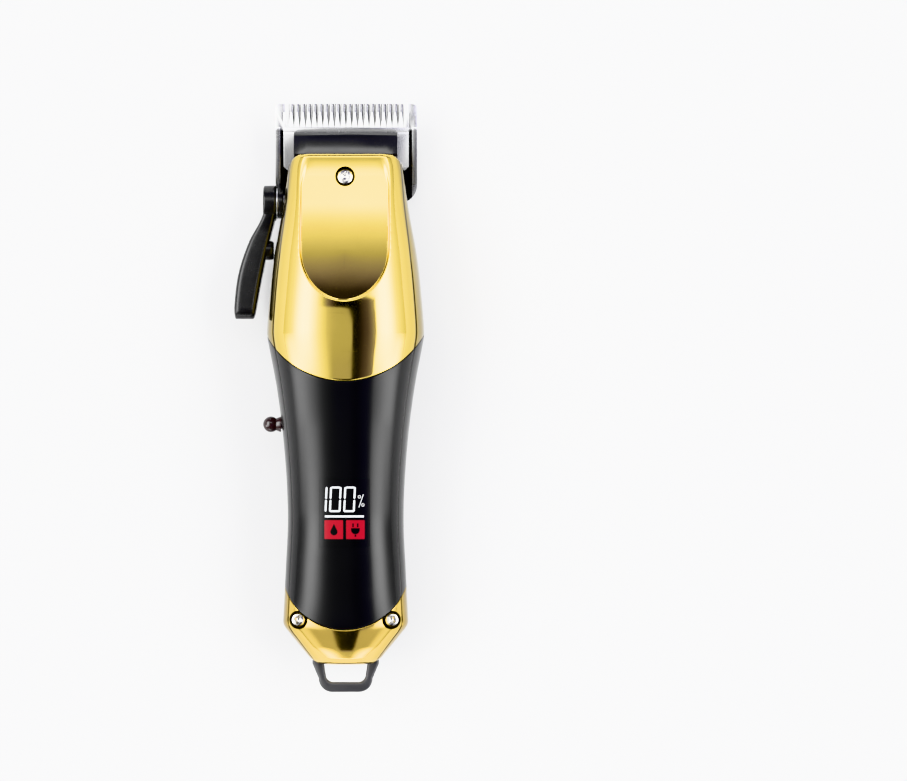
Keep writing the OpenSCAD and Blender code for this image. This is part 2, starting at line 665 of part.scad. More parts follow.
module board_parts() color("#202020") translate([0, 0, board_z + board_t]) {
    for (i = [0:3])
        translate([-10 + i * 4.6, -18, 0]) cube([3, 2, 1.2]);
    translate([-4, -10, 0]) cube([7, 7, 1.6]);
    translate([-9, -58, 0]) cube([5, 4, 1.4]);
    translate([3, -56, 0]) cylinder(r = 2.2, h = 4);
    translate([7, -8, 0]) cube([3.2, 5, 2.2]);
}

module board_screws() color("silver") for (p = board_posts)
    both_sides() translate([p[0], p[1], board_z + board_t + 1.2]) pan_screw(1.9, 1.2, 0.9, 4.5);

module display_module() color("#101010") difference() {
    translate([-window_hw + 0.5, window_y[0] + 1, board_z + board_t])
        cube([2 * window_hw - 1, window_y[1] - window_y[0] - 2, display_top - board_z - board_t]);
    translate([-window_hw + 1.5, window_y[0] + 2, display_top - 0.6])
        cube([2 * window_hw - 3, window_y[1] - window_y[0] - 4, 1]);
}

window_cols = 8;
window_a = acos(power(window_hw / (waist_w / 2), roundness / 2));
module display_window() color([0.1, 0.1, 0.12, 0.6])
    shell(window_a, 180 - window_a, level(window_y[0], window_cols), level(window_y[1], window_cols), 4, window_t);

// One seven-bar figure; bars lists which bars are lit, from the top one clockwise and the middle one last
digit_h = 8.2;
digit_w = 4.1;
bar_w = 0.95;
module figure(bars) {
    half = digit_h / 2;
    reach = digit_w - bar_w;
    places = [
        [bar_w / 2, digit_h - bar_w, true], [digit_w - bar_w, half, false], [digit_w - bar_w, 0, false],
        [bar_w / 2, 0, true], [0, 0, false], [0, half, false], [bar_w / 2, half - bar_w / 2, true]
    ];
    for (b = bars)
        translate([places[b][0], places[b][1]])
            square(places[b][2] ? [reach, bar_w * 0.9] : [bar_w, half - 0.3]);
}

digits_y = -36.8;
module display_digits() color("white") translate([0, 0, display_top - 0.55]) linear_extrude(0.4) {
    translate([-6.4, digits_y]) figure([4, 5]);
    translate([-4.9, digits_y]) figure([0, 1, 2, 3, 4, 5]);
    translate([-0.3, digits_y]) figure([0, 1, 2, 3, 4, 5]);
    translate([4.3, digits_y + 5.4]) square([0.8, 1.6]);
    translate([5.4, digits_y + 1]) square([0.8, 1.6]);
    translate([-6.4, digits_y - 2]) square([12.6, 0.7]);
}

module display_tiles() color("red") translate([0, 0, display_top - 0.55]) linear_extrude(0.4) {
    for (x = [-6.4, 0.5])
        translate([x, -45.4]) square([5.9, 6]);
}

cell_y = -58;
cell_z = 12.5;
module battery_cell() color("steelblue") translate([0, 0, cell_z]) along_y(cell_y, cell_y + cell_l, cell_d / 2);

module battery_tabs() color("silver") {
    translate([-3, cell_y - 0.3, cell_z - 3]) cube([6, 0.3, 12.4]);
    translate([-3, cell_y + cell_l, cell_z - 3]) cube([6, 0.3, 12.4]);
}

module battery_cradle() color("gray") for (y = [-50, -4]) difference() {
    translate([-7.6, y, 2.3]) cube([15.2, 6, 6]);
    translate([0, 0, cell_z]) along_y(-90, 90, cell_d / 2 + 0.05);
}

// Round wire along a smooth curve through points
function bend(p, i, t) =
    let (
        a = p[max(i - 1, 0)], b = p[i], c = p[i + 1], d = p[min(i + 2, len(p) - 1)]
    )
    0.5 * (2 * b + (c - a) * t + (2 * a - 5 * b + 4 * c - d) * t * t + (3 * b - a - 3 * c + d) * t * t * t);
module wire(p, r) {
    sides = 8;
    steps = 4;
    path = concat([for (i = [0:len(p) - 2], s = [0:steps - 1]) bend(p, i, s / steps)], [p[len(p) - 1]]);
    last = len(path) - 1;
    rings = [
        for (i = [0:last])
            let (
                d = path[min(i + 1, last)] - path[max(i - 1, 0)],
                e = d / norm(d),
                u = cross(e, abs(e[2]) > 0.9 ? [1, 0, 0] : [0, 0, 1]),
                v = cross(e, u / norm(u))
            )
            for (k = [0:sides - 1]) path[i] + r * (cos(360 * k / sides) * u / norm(u) + sin(360 * k / sides) * v)
    ];
    sides_faces = [
        for (i = [0:last - 1], k = [0:sides - 1])
            let (m = (k + 1) % sides) each [
                [i * sides + k, (i + 1) * sides + k, i * sides + m],
                [i * sides + m, (i + 1) * sides + k, (i + 1) * sides + m]
            ]
    ];
    polyhedron(
        points = rings,
        faces = concat(
            sides_faces,
            [[for (k = [0:sides - 1]) k]],
            [[for (k = [sides - 1:-1:0]) last * sides + k]]
        )
    );
}

lead_r = 0.7;
module battery_leads() color("red") {
    wire([[1.5, cell_y + cell_l + 0.3 + lead_r, 20.5], [5, 9.5, 21.4], [8, 11, 23.6], [8, 8.2, 25.9]], lead_r);
    wire([[1.5, cell_y - 0.3 - lead_r, 20.5], [4.6, -61.6, 21.5], [6.4, -62.6, 24.2], [6.4, -60, 25.9]], lead_r);
}

module motor_leads() color("black") {
    wire([[5.2, motor_y - 5 - lead_r, 14.6], [6.5, 12.6, 18], [3, 11.6, 24.4], [2.5, 6, 25.4]], lead_r);
    wire([[-5.2, motor_y - 5 - lead_r, 14.6], [-6.5, 12.6, 18], [-3, 11.6, 24.4], [-2.5, 6, 25.4]], lead_r);
}

port_y = -85.6;
module usb_port() color("silver") union() {
    difference() {
        socket_opening(port_y, port_y + 7.3, -0.02);
        socket_opening(port_y - 1, port_y + 6.5, -0.32);
    }
    translate([-3.3, port_y + 1.2, port_z - 0.35]) cube([6.6, 5.6, 0.7]);
}

module port_board() color("darkgreen") translate([-5, port_y + 2.4, port_z - port_hh - 0.8]) cube([10, 12, 0.8]);

module lid_screw() color("silver") on_facet() translate([0, 0, -0.3]) pan_screw(2.65, 1.5, 1.25, 5.4);

module tail_screws() color("silver") both_sides()
    translate([tail_screw[0], tail_screw[1], tail_seat_z + 1.5]) pan_screw(2.25, 1.5, 1.2, 13.5);

module housing_screws() color("silver") both_sides()
    translate([housing_screw[0], housing_screw[1], 1.4]) rotate([180, 0, 0]) pan_screw(2.4, 1.6, 1.25, 20);

lid();
front_shell();
tail_cap();
rear_housing();
nose_guard();
hanging_loop();
stationary_blade();
blade_screws();
cutter_blade();
cutter_driver();
taper_slide();
slide_screws();
tension_spring();
taper_lever();
lever_shaft();
lever_screw();
lever_washer();
lever_collar();
motor_can();
motor_end_cap();
motor_bush();
motor_sleeve();
motor_bracket();
bracket_screws();
motor_shaft();
eccentric_cam();
drive_pin();
switch_knob();
switch_slider();
switch_body();
main_board();
board_parts();
board_screws();
display_module();
display_window();
display_digits();
display_tiles();
battery_cell();
battery_tabs();
battery_cradle();
battery_leads();
motor_leads();
usb_port();
port_board();
lid_screw();
tail_screws();
housing_screws();
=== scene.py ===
"""Looks of a cordless hair clipper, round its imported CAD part. The builders work in millimetres."""

import math

import bmesh
import bpy
import numpy as np
from mathutils import Matrix, Vector


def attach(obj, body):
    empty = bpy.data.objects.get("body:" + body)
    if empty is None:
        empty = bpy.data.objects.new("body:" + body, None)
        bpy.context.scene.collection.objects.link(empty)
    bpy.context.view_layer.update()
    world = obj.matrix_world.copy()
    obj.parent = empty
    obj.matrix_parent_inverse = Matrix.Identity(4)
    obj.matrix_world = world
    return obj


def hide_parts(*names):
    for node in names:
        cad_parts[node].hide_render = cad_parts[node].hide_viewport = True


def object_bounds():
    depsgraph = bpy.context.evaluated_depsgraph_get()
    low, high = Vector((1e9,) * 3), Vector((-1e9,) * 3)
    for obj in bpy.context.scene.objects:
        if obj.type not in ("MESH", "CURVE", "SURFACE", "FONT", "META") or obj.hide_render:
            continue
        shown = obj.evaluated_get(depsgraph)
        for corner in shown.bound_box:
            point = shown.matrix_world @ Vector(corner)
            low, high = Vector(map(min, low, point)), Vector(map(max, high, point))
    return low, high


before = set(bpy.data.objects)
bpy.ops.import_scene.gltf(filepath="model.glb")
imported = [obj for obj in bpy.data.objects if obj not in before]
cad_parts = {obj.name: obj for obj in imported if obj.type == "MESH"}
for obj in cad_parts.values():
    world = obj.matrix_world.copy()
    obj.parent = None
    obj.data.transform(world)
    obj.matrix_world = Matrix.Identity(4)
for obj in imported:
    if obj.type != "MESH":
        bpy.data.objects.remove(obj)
cad_low, cad_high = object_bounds()
scene = bpy.context.scene
MM = 0.001
SIDES = (-1, 1)

# ---------------------------------------------------------------- the body's shape, as the CAD source has it
PART_Z = 17.0
ROUNDNESS = 2.6
HUMP_W, WAIST_W, TAIL_W = 51.2, 37.4, 40.8
HUMP_H, WAIST_H = 41.48, 33.6
WALL, SHUT_GAP = 2.0, 0.15
TAIL_Y, TAIL_CORNER_Y, LID_END_Y, HOUSING_END_Y = -86.1, -73.5, 78.1, 69.0
SEAM_SIDE_Y, SEAM_MID_Y, CAP_SIDE_Y, CAP_MID_Y = 20.2, 5.2, -60.9, -74.5
TAIL_END_HW = 10.0
WIDEST_HW, WIDEST_BLEND = 25.42, 0.5
SIDE_LINE = [(TAIL_CORNER_Y, TAIL_W / 2 - 0.1), (-56, TAIL_W / 2 - 1), (-38, WAIST_W / 2),
             (-17, WAIST_W / 2 + 1.1), (2, HUMP_W / 2 - 3.5), (SEAM_SIDE_Y, HUMP_W / 2 - 0.1)]
LID_LINE = [(SEAM_SIDE_Y, HUMP_W / 2), (43, 23.4), (62, 20.1), (74, 18.5), (LID_END_Y, 17.4)]
TOP_LINE = [(TAIL_Y, 25), (-80, 29.4), (-70, 31.8), (-52, 32.9), (-36, WAIST_H), (-10, 36.6),
            (12, HUMP_H - 1), (28, HUMP_H), (36, HUMP_H - 0.5), (47, HUMP_H - 3.1), (60, HUMP_H - 7.2),
            (LID_END_Y, HUMP_H - 13.4)]
BOTTOM_LINE = [(TAIL_Y, 8), (-77, 3), (-62, 0), (-48, -0.8), (45, -0.8), (54, 0.5), (70, 5)]

# Thumb scoop in the lid: a U outline, and how steeply its floor falls towards the blade
SCOOP_HALF, SCOOP_MID_Y, SCOOP_END_Y, SCOOP_WALL, SCOOP_RIM = 14.2, 47.5, 30.7, 0.5, 0.4
SEAT_SLOPE, LIP_SLOPE = 0.26, 0.08
SCOOP_SLOPE = [(SCOOP_END_Y, 0.50), (62, SEAT_SLOPE), (71, SEAT_SLOPE), (76.5, LIP_SLOPE),
               (LID_END_Y, LIP_SLOPE)]
SCOOP_TOP_Z = HUMP_H - 0.2


def curve(points, y):
    """Smooth curve through points (y, value)."""
    p = np.array(points, float)
    y = np.asarray(y, float)
    k = np.clip(np.searchsorted(p[:, 0], y, side="left") - 1, 0, len(p) - 2)
    s = np.empty(len(p))
    s[0] = (p[1, 1] - p[0, 1]) / (p[1, 0] - p[0, 0])
    s[-1] = (p[-1, 1] - p[-2, 1]) / (p[-1, 0] - p[-2, 0])
    s[1:-1] = (p[2:, 1] - p[:-2, 1]) / (p[2:, 0] - p[:-2, 0])
    h = p[k + 1, 0] - p[k, 0]
    t = (y - p[k, 0]) / h
    return (p[k, 1] * (1 + 2 * t) * (1 - t) ** 2 + s[k] * h * t * (1 - t) ** 2
            + p[k + 1, 1] * t * t * (3 - 2 * t) + s[k + 1] * h * t * t * (t - 1))


def soft_min(a, b, k):
    h = np.clip(0.5 + 0.5 * (b - a) / k, 0, 1)
    return b * (1 - h) + a * h - k * h * (1 - h)


def half_width(y):
    y = np.asarray(y, float)
    taper = TAIL_END_HW + (y - TAIL_Y) * (TAIL_W / 2 - 0.1 - TAIL_END_HW) / (TAIL_CORNER_Y - TAIL_Y)
    side = curve(SIDE_LINE, np.maximum(y, TAIL_CORNER_Y))
    body = np.where(y < -60, soft_min(taper, side, 1.2), side)
    return soft_min(np.where(y < SEAM_SIDE_Y, body, curve(LID_LINE, y)), WIDEST_HW, WIDEST_BLEND)


def skin(angle, y, inset):
    """(x, z) of the body's surface at an angle of the section at y, set in by inset."""
    e = 2 / ROUNDNESS
    c, s = np.cos(angle), np.sin(angle)
    x = (half_width(y) - inset) * np.sign(c) * np.abs(c) ** e
    reach = np.where(s >= 0, curve(TOP_LINE, y) - PART_Z, PART_Z - curve(BOTTOM_LINE, y)) - inset
    return x, PART_Z + reach * np.sign(s) * np.abs(s) ** e


def top_surface(x, y):
    """Height of the upper surface over a point."""
    share = np.clip(1 - np.abs(x / half_width(y)) ** ROUNDNESS, 0, 1) ** (1 / ROUNDNESS)
    return PART_Z + (curve(TOP_LINE, y) - PART_Z) * share


def seam(x, side_y, mid_y, half):
    sag = side_y - mid_y
    r = (half * half + sag * sag) / (2 * sag)
    return mid_y + r - np.sqrt(np.maximum(r * r - x * x, 0))


def seam_rows(angles, lid_side):
    """y where the line of each angle meets the lid's seam or the tail cap's, closed in on from a guess."""
    y = np.full(len(angles), 12.0 if lid_side else -66.0)
    for _ in range(12):
        x = np.abs(skin(angles, y, 0)[0])
        if lid_side:
            y = seam(np.minimum(x, HUMP_W / 2), SEAM_SIDE_Y, SEAM_MID_Y, HUMP_W / 2)
        else:
            half = TAIL_W / 2 - 0.7
            y = seam(np.minimum(x, half), CAP_SIDE_Y, CAP_MID_Y, half)
    return y


def scoop_floor(y):
    """Height of the scoop's floor, from its slope."""
    line = np.linspace(SCOOP_END_Y, LID_END_Y, 400)
    s = np.interp(line, [p[0] for p in SCOOP_SLOPE], [p[1] for p in SCOOP_SLOPE])
    drop = np.concatenate([[0], np.cumsum((s[1:] + s[:-1]) / 2 * np.diff(line))])
    return SCOOP_TOP_Z - np.interp(y, line, drop)


def lip(distance, r):
    """Inset of a rounded edge at a distance from that edge."""
    s = np.clip(r - distance, 0, r)
    return r - np.sqrt(np.maximum(r * r - s * s, 0))


# ---------------------------------------------------------------- mesh helpers
def build(name, verts, faces, sharp=32):
    """Object from vertices in millimetres, with its faces turned outwards and its sharp edges marked."""
    mesh = bpy.data.meshes.new(name)
    mesh.from_pydata([tuple(float(c) * MM for c in v) for v in verts], [],
                     [tuple(map(int, f)) for f in faces])
    return finish_mesh(name, mesh, sharp)


def finish_mesh(name, mesh, sharp=32):
    bm = bmesh.new()
    bm.from_mesh(mesh)
    bmesh.ops.remove_doubles(bm, verts=bm.verts, dist=1e-7)
    bmesh.ops.recalc_face_normals(bm, faces=bm.faces)
    bm.to_mesh(mesh)
    bm.free()
    shade(mesh, sharp)
    obj = bpy.data.objects.new(name, mesh)
    scene.collection.objects.link(obj)
    return obj


def shade(mesh, sharp=32):
    mesh.shade_smooth()
    mesh.set_sharp_from_angle(angle=math.radians(sharp))


def apply(obj, sharp=32):
    """Turns an object's modifiers into its mesh; sharp=None keeps the normals that they give."""
    graph = bpy.context.evaluated_depsgraph_get()
    new = bpy.data.meshes.new_from_object(obj.evaluated_get(graph))
    old = obj.data
    obj.modifiers.clear()
    obj.data = new
    bpy.data.meshes.remove(old)
    if sharp:
        shade(new, sharp)
    return obj


def discard(objs):
    for o in objs:
        data = o.data
        bpy.data.objects.remove(o)
        bpy.data.meshes.remove(data)


def combine(obj, tools, how="DIFFERENCE", sharp=32):
    """Cuts tools out of obj, or joins them to it."""
    for tool in tools:
        m = obj.modifiers.new("cut", "BOOLEAN")
        m.operation, m.object, m.solver = how, tool, "MANIFOLD"
    apply(obj, sharp)
    discard(tools)
    return obj


def soften(obj, width, segments=2, angle=40, sharp=32):
    """Rounds an object's sharp edges by width."""
    m = obj.modifiers.new("edges", "BEVEL")
    m.width, m.segments, m.limit_method = width * MM, segments, "ANGLE"
    m.angle_limit, m.use_clamp_overlap, m.harden_normals = math.radians(angle), True, False
    return apply(obj, sharp)


def bridge(a, b, n):
    """Faces between two closed rows of n points that start at a and b."""
    return [(a + k, a + (k + 1) % n, b + (k + 1) % n, b + k) for k in range(n)]


def circle(r, z, steps):
    around = [2 * math.pi * k / steps for k in range(steps)]
    return [(r * math.cos(a), r * math.sin(a), z) for a in around]


def arc(cx, cy, r, a0, a1, n):
    angles = np.radians(np.linspace(a0, a1, n))
    return [(cx + r * math.cos(a), cy + r * math.sin(a)) for a in angles]


def oblong(x0, x1, y0, y1):
    return [(x0, y0), (x1, y0), (x1, y1), (x0, y1)]


def rounded(x0, x1, y0, y1, r, n=5):
    """Oblong with corners of radius r, each of n points."""
    return (arc(x0 + r, y0 + r, r, 180, 270, n) + arc(x1 - r, y0 + r, r, 270, 360, n)
            + arc(x1 - r, y1 - r, r, 0, 90, n) + arc(x0 + r, y1 - r, r, 90, 180, n))


def turned(name, profile, steps=64):
    """Solid of revolution about Z from (radius, height) points, whose ends lie on the axis."""
    verts, faces, rings = [], [], []
    for r, z in profile:
        if r < 1e-6:
            rings.append([len(verts)] * steps)
            verts.append((0, 0, z))
        else:
            rings.append(list(range(len(verts), len(verts) + steps)))
            verts += circle(r, z, steps)
    for a, b in zip(rings, rings[1:]):
        for k in range(steps):
            f = [a[k], a[(k + 1) % steps], b[(k + 1) % steps], b[k]]
            f = [v for i, v in enumerate(f) if v not in f[:i]]
            if len(f) > 2:
                faces.append(f)
    return build(name, verts, faces)


def ring(name, inner, outer, z0, z1, edge):
    """Flat ring about Z with rounded edges."""
    loop = rounded(inner, outer, z0, z1, edge, 4)
    steps, n = 72, len(loop)
    rows = [circle(r, z, steps) for r, z in loop]
    verts = [row[k] for k in range(steps) for row in rows]
    faces = [f for k in range(steps) for f in bridge(k * n, (k + 1) % steps * n, n)]
    return build(name, verts, faces)


def plate(name, outline, z0, z1):
    """Flat plate from an outline in x and y."""
    n = len(outline)
    verts = [(x, y, z0) for x, y in outline] + [(x, y, z1) for x, y in outline]
    return build(name, verts, [tuple(range(n))[::-1], tuple(range(n, 2 * n))] + bridge(0, n, n))


def from_side(name, outline, x0, x1, steps=1, crown=0, crown_z=0):
    """Bar along X from an outline in y and z; above crown_z it falls away to both ends by crown."""
    n = len(outline)
    verts = []
    for t in np.linspace(0, 1, steps + 1):
        low = crown * (2 * t - 1) ** 2
        verts += [(x0 + (x1 - x0) * t, y, z - low * min(max(z - crown_z, 0), 1)) for y, z in outline]
    last = steps * n
    faces = [tuple(range(n)), tuple(range(last, last + n))[::-1]]
    for k in range(0, last, n):
        faces += bridge(k, k + n, n)
    return build(name, verts, faces)


def block(name, low, high):
    (x0, y0, z0), (x1, y1, z1) = low, high
    return plate(name, oblong(x0, x1, y0, y1), z0, z1)


def even_shading(obj):
    """Evens out the shading of a smooth surface after a cut."""
    bm = bmesh.new()
    bm.from_mesh(obj.data)
    bmesh.ops.remove_doubles(bm, verts=bm.verts, dist=1.5e-5)
    bmesh.ops.dissolve_degenerate(bm, edges=bm.edges, dist=1e-5)
    bmesh.ops.triangulate(bm, faces=[f for f in bm.faces if len(f.verts) > 4], ngon_method="BEAUTY")
    bm.to_mesh(obj.data)
    bm.free()
    shade(obj.data)
    m = obj.modifiers.new("even", "WEIGHTED_NORMAL")
    m.keep_sharp, m.weight = True, 50
    apply(obj, None)


def pill(x0, x1, y, r):
    """Outline with round ends of radius r about x0 and x1."""
    return arc(x1, y, r, -90, 90, 13) + arc(x0, y, r, 90, 270, 13)


def rod(name, r, z0, z1, steps=64):
    return turned(name, [(0, z0), (r, z0), (r, z1), (0, z1)], steps)


def place(obj, matrix):
    """Moves an object's mesh by a matrix in millimetres."""
    m = matrix.copy()
    m.translation = m.translation * MM
    obj.data.transform(m)
    if m.determinant() < 0:
        obj.data.flip_normals()
    obj.data.update()
    return obj


def at(x, y, z):
    return Matrix.Translation((x, y, z))


def both(spot, z=0):
    """Places on the left and the right, at a spot given for the right."""
    return [at(s * spot[0], spot[1], z) for s in SIDES]


def turn(degrees, axis):
    return Matrix.Rotation(math.radians(degrees), 4, axis)


def join(name, objs):
    """One object from several meshes that already lie in place."""
    bm = bmesh.new()
    for o in objs:
        bm.from_mesh(o.data)
    mesh = bpy.data.meshes.new(name)
    bm.to_mesh(mesh)
    bm.free()
    discard(objs)
    return finish_mesh(name, mesh)


def stand_for(obj, body, slot, *nodes):
    """Gives a piece its material, body and slot, and hides the CAD nodes that it replaces."""
    obj.data.materials.clear()
    obj.data.materials.append(mats[slot])
    for face in obj.data.polygons:
        face.material_index = 0
    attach(obj, body)
    if nodes:
        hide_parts(*nodes)


# ---------------------------------------------------------------- materials
def node(tree, kind, **values):
    n = tree.nodes.new(kind)
    for key, value in values.items():
        if hasattr(n, key) and key not in n.inputs:
            setattr(n, key, value)
        else:
            n.inputs[key].default_value = value
    return n


def noise(tree, source, size_mm, detail=3.0, stretch=(1, 1, 1), rough=0.5):
    """Noise whose features are about size_mm across, drawn out along the axes where stretch is small."""
    m = node(tree, "ShaderNodeMapping")
    m.inputs["Scale"].default_value = tuple(s / (size_mm * MM) for s in stretch)
    tree.links.new(source, m.inputs["Vector"])
    n = node(tree, "ShaderNodeTexNoise", Scale=1.0, Detail=detail, Roughness=rough)
    tree.links.new(m.outputs["Vector"], n.inputs["Vector"])
    return n.outputs["Fac"]


def ranged(tree, source, low, high, out_low, out_high):
    n = node(tree, "ShaderNodeMapRange", clamp=True)
    for key, value in (("From Min", low), ("From Max", high), ("To Min", out_low), ("To Max", out_high)):
        n.inputs[key].default_value = value
    tree.links.new(source, n.inputs["Value"])
    return n.outputs["Result"]


def mixed(tree, factor, a, b):
    n = node(tree, "ShaderNodeMix", data_type="RGBA")
    tree.links.new(factor, n.inputs["Factor"])
    for key, value in ((6, a), (7, b)):
        if hasattr(value, "links"):
            tree.links.new(value, n.inputs[key])
        else:
            n.inputs[key].default_value = (*value, 1)
    return n.outputs[2]


def maths(tree, how, *values):
    n = node(tree, "ShaderNodeMath", operation=how)
    for i, v in enumerate(values):
        if hasattr(v, "links"):
            tree.links.new(v, n.inputs[i])
        else:
            n.inputs[i].default_value = v
    return n.outputs[0]


def material(name, colour, rough, metallic=0.0, vary=0.08, blotch=9.0, grain=0.25, bump=0.1, depth=0.004,
             rough_vary=0.03, stretch=(1, 1, 1), ior=1.5, glow=None, glow_power=0.0,
             scratch=0.0, tint_and_painted_shade=None):
    """Finish with patchy colour and gloss, a fine grain in relief, and hairline scratches where scratch > 0.
    The tint function, given the tree, the point and the colour, returns the colour to use instead, with any
    painted shade in it."""
    mat = bpy.data.materials.new(name)
    mat.use_nodes = True
    tree = mat.node_tree
    shader = tree.nodes["Principled BSDF"]
    shader.inputs["Metallic"].default_value = metallic
    shader.inputs["IOR"].default_value = ior
    where = node(tree, "ShaderNodeTexCoord").outputs["Object"]
    patch = ranged(tree, noise(tree, where, blotch, 4), 0.3, 0.7, 0, 1)
    light = tuple(min(1, c * (1 + vary)) for c in colour)
    dark = tuple(c * (1 - vary) for c in colour)
    base = mixed(tree, patch, dark, light)
    if tint_and_painted_shade:
        base = tint_and_painted_shade(tree, where, base)
    tree.links.new(base, shader.inputs["Base Color"])
    fine = noise(tree, where, grain, 2, stretch)
    gloss = ranged(tree, noise(tree, where, blotch * 0.6, 5, stretch), 0.3, 0.7, rough - rough_vary,
                   rough + rough_vary)
    if scratch:
        lines = noise(tree, where, 0.35, 2, (0.03, 1, 1))
        lines = ranged(tree, lines, 0.68, 0.72, 0, scratch)
        gloss = maths(tree, "ADD", gloss, lines)
    tree.links.new(gloss, shader.inputs["Roughness"])
    relief = node(tree, "ShaderNodeBump", Strength=bump, Distance=depth * MM)
    tree.links.new(fine, relief.inputs["Height"])
    tree.links.new(relief.outputs["Normal"], shader.inputs["Normal"])
    if glow:
        shader.inputs["Emission Color"].default_value = (*glow, 1)
        shader.inputs["Emission Strength"].default_value = glow_power
    return mat


# The groove along the trim: its place as a share of the half width, and the width of the dark line of
# painted shade along it
LINE_SHARE, LINE_FRONT_SHARE, LINE_WIDE = 0.907, 0.968, 0.015
GROOVE_DEEP, GROOVE_WIDE, GROOVE_END_Y, GROOVE_FADE = 0.2, 0.006, 48, 8
RAIL_MID, RAIL_HALF, CUTTER_HALF, CUTTER_STRIP_Y = 22.2, 0.8, 20.3, 86.6
# Screw wells as x, y and radius, where the gold is darkened with painted shade
SCREW_WELLS = ((0.0, 70.7, 3.2), (14.9, -71.5, 3.0))


def plan(tree, where):
    """Sockets for |x|, y and z of a point, in millimetres."""
    scaled = node(tree, "ShaderNodeVectorMath", operation="SCALE")
    tree.links.new(where, scaled.inputs[0])
    scaled.inputs["Scale"].default_value = 1 / MM
    xyz = node(tree, "ShaderNodeSeparateXYZ")
    tree.links.new(scaled.outputs[0], xyz.inputs[0])
    return maths(tree, "ABSOLUTE", xyz.outputs[0]), xyz.outputs[1], xyz.outputs[2]


def width_share(tree, x, y):
    """How far out to the body's side a point is: 0 on the middle plane, 1 at the side."""
    c = node(tree, "ShaderNodeFloatCurve")
    line = c.mapping.curves[0]
    ys = np.linspace(TAIL_Y, LID_END_Y, 60)
    while len(line.points) < len(ys):
        line.points.new(0.5, 0.5)
    for p, at_y in zip(line.points, ys):
        p.location = ((at_y - TAIL_Y) / (LID_END_Y - TAIL_Y), float(half_width(at_y)) / HUMP_W)
    c.mapping.update()
    tree.links.new(ranged(tree, y, TAIL_Y, LID_END_Y, 0, 1), c.inputs["Value"])
    return maths(tree, "DIVIDE", x, maths(tree, "MULTIPLY", c.outputs[0], HUMP_W))


def painted_trim_shade(tree, where, colour):
    """Painted shade on the gold: darker towards the sides, where reflections are painted darker, with a
    painted dark line along the groove and painted shade in the screw wells.
    """
    x, y, z = plan(tree, where)
    share = width_share(tree, x, y)
    # Painted shade towards the sides, standing in for darker reflections there
    painted_side_shade = maths(tree, "MULTIPLY", ranged(tree, share, 0.7, 0.84, 1, 0.55),
                      ranged(tree, share, 0.88, 0.93, 1, 0.62))
    toned = node(tree, "ShaderNodeVectorMath", operation="SCALE")
    tree.links.new(colour, toned.inputs[0])
    tree.links.new(painted_side_shade, toned.inputs["Scale"])
    line = ranged(tree, y, 45, 74, LINE_SHARE, LINE_FRONT_SHARE)
    off = maths(tree, "ABSOLUTE", maths(tree, "SUBTRACT", share, line))
    # Painted shade: a dark line along the groove, then dark rings in the screw wells
    dark = ranged(tree, off, LINE_WIDE * 0.3, LINE_WIDE, 0.95, 0)
    for cx, cy, r in SCREW_WELLS:
        across, along = maths(tree, "SUBTRACT", x, cx), maths(tree, "SUBTRACT", y, cy)
        square = maths(tree, "ADD", maths(tree, "POWER", across, 2.0), maths(tree, "POWER", along, 2.0))
        dist = maths(tree, "SQRT", square)
        dark = maths(tree, "MAXIMUM", dark, ranged(tree, dist, r - 0.05, r + 0.05, 1, 0))
    dark = maths(tree, "MULTIPLY", dark, ranged(tree, z, PART_Z + 0.5, PART_Z + 0.7, 0, 1))
    return mixed(tree, dark, toned.outputs[0], (0.012, 0.008, 0.002))


def painted_flank_shade(tree):
    """1 on the flanks of the teeth, where painted shade darkens them."""
    facing = node(tree, "ShaderNodeSeparateXYZ")
    tree.links.new(node(tree, "ShaderNodeTexCoord").outputs["Normal"], facing.inputs[0])
    return ranged(tree, maths(tree, "ABSOLUTE", facing.outputs[0]), 0.25, 0.5, 0, 1)


def blade_tint_and_flank_shade(tree, where, colour):
    """Dark plate between grey rails, and bright teeth whose flanks carry painted shade."""
    x, y, _ = plan(tree, where)
    edge = RAIL_MID - RAIL_HALF
    behind = ranged(tree, y, CUTTER_STRIP_Y - 0.3, CUTTER_STRIP_Y + 0.4, 1, 0)
    inner = maths(tree, "MULTIPLY", behind, ranged(tree, x, edge - 0.1, edge + 0.02, 1, 0))
    rail = maths(tree, "MULTIPLY", behind, ranged(tree, x, edge - 0.1, edge + 0.02, 0, 0.72))
    colour = mixed(tree, rail, colour, (0.12, 0.12, 0.12))
    # Dark plate between the rails, and painted shade on the flanks of the teeth
    dark = maths(tree, "MAXIMUM", inner, maths(tree, "MULTIPLY", painted_flank_shade(tree),
                                               ranged(tree, x, CUTTER_HALF + 0.3, CUTTER_HALF + 0.7, 1, 0)))
    return mixed(tree, dark, colour, (0.008, 0.008, 0.008))


def cutter_tint_and_flank_shade(tree, where, colour):
    """Greyer legs behind the strip, and painted shade on the flanks of the teeth."""
    y = plan(tree, where)[1]
    teeth = ranged(tree, y, CUTTER_STRIP_Y, CUTTER_STRIP_Y + 0.6, 0, 1)
    leg = ranged(tree, y, 85.0, 85.4, 0.35, 0)
    colour = mixed(tree, leg, colour, (0.1, 0.1, 0.1))
    # Painted shade on the flanks of the teeth
    return mixed(tree, maths(tree, "MULTIPLY", teeth, painted_flank_shade(tree)), colour, (0.01, 0.01, 0.01))


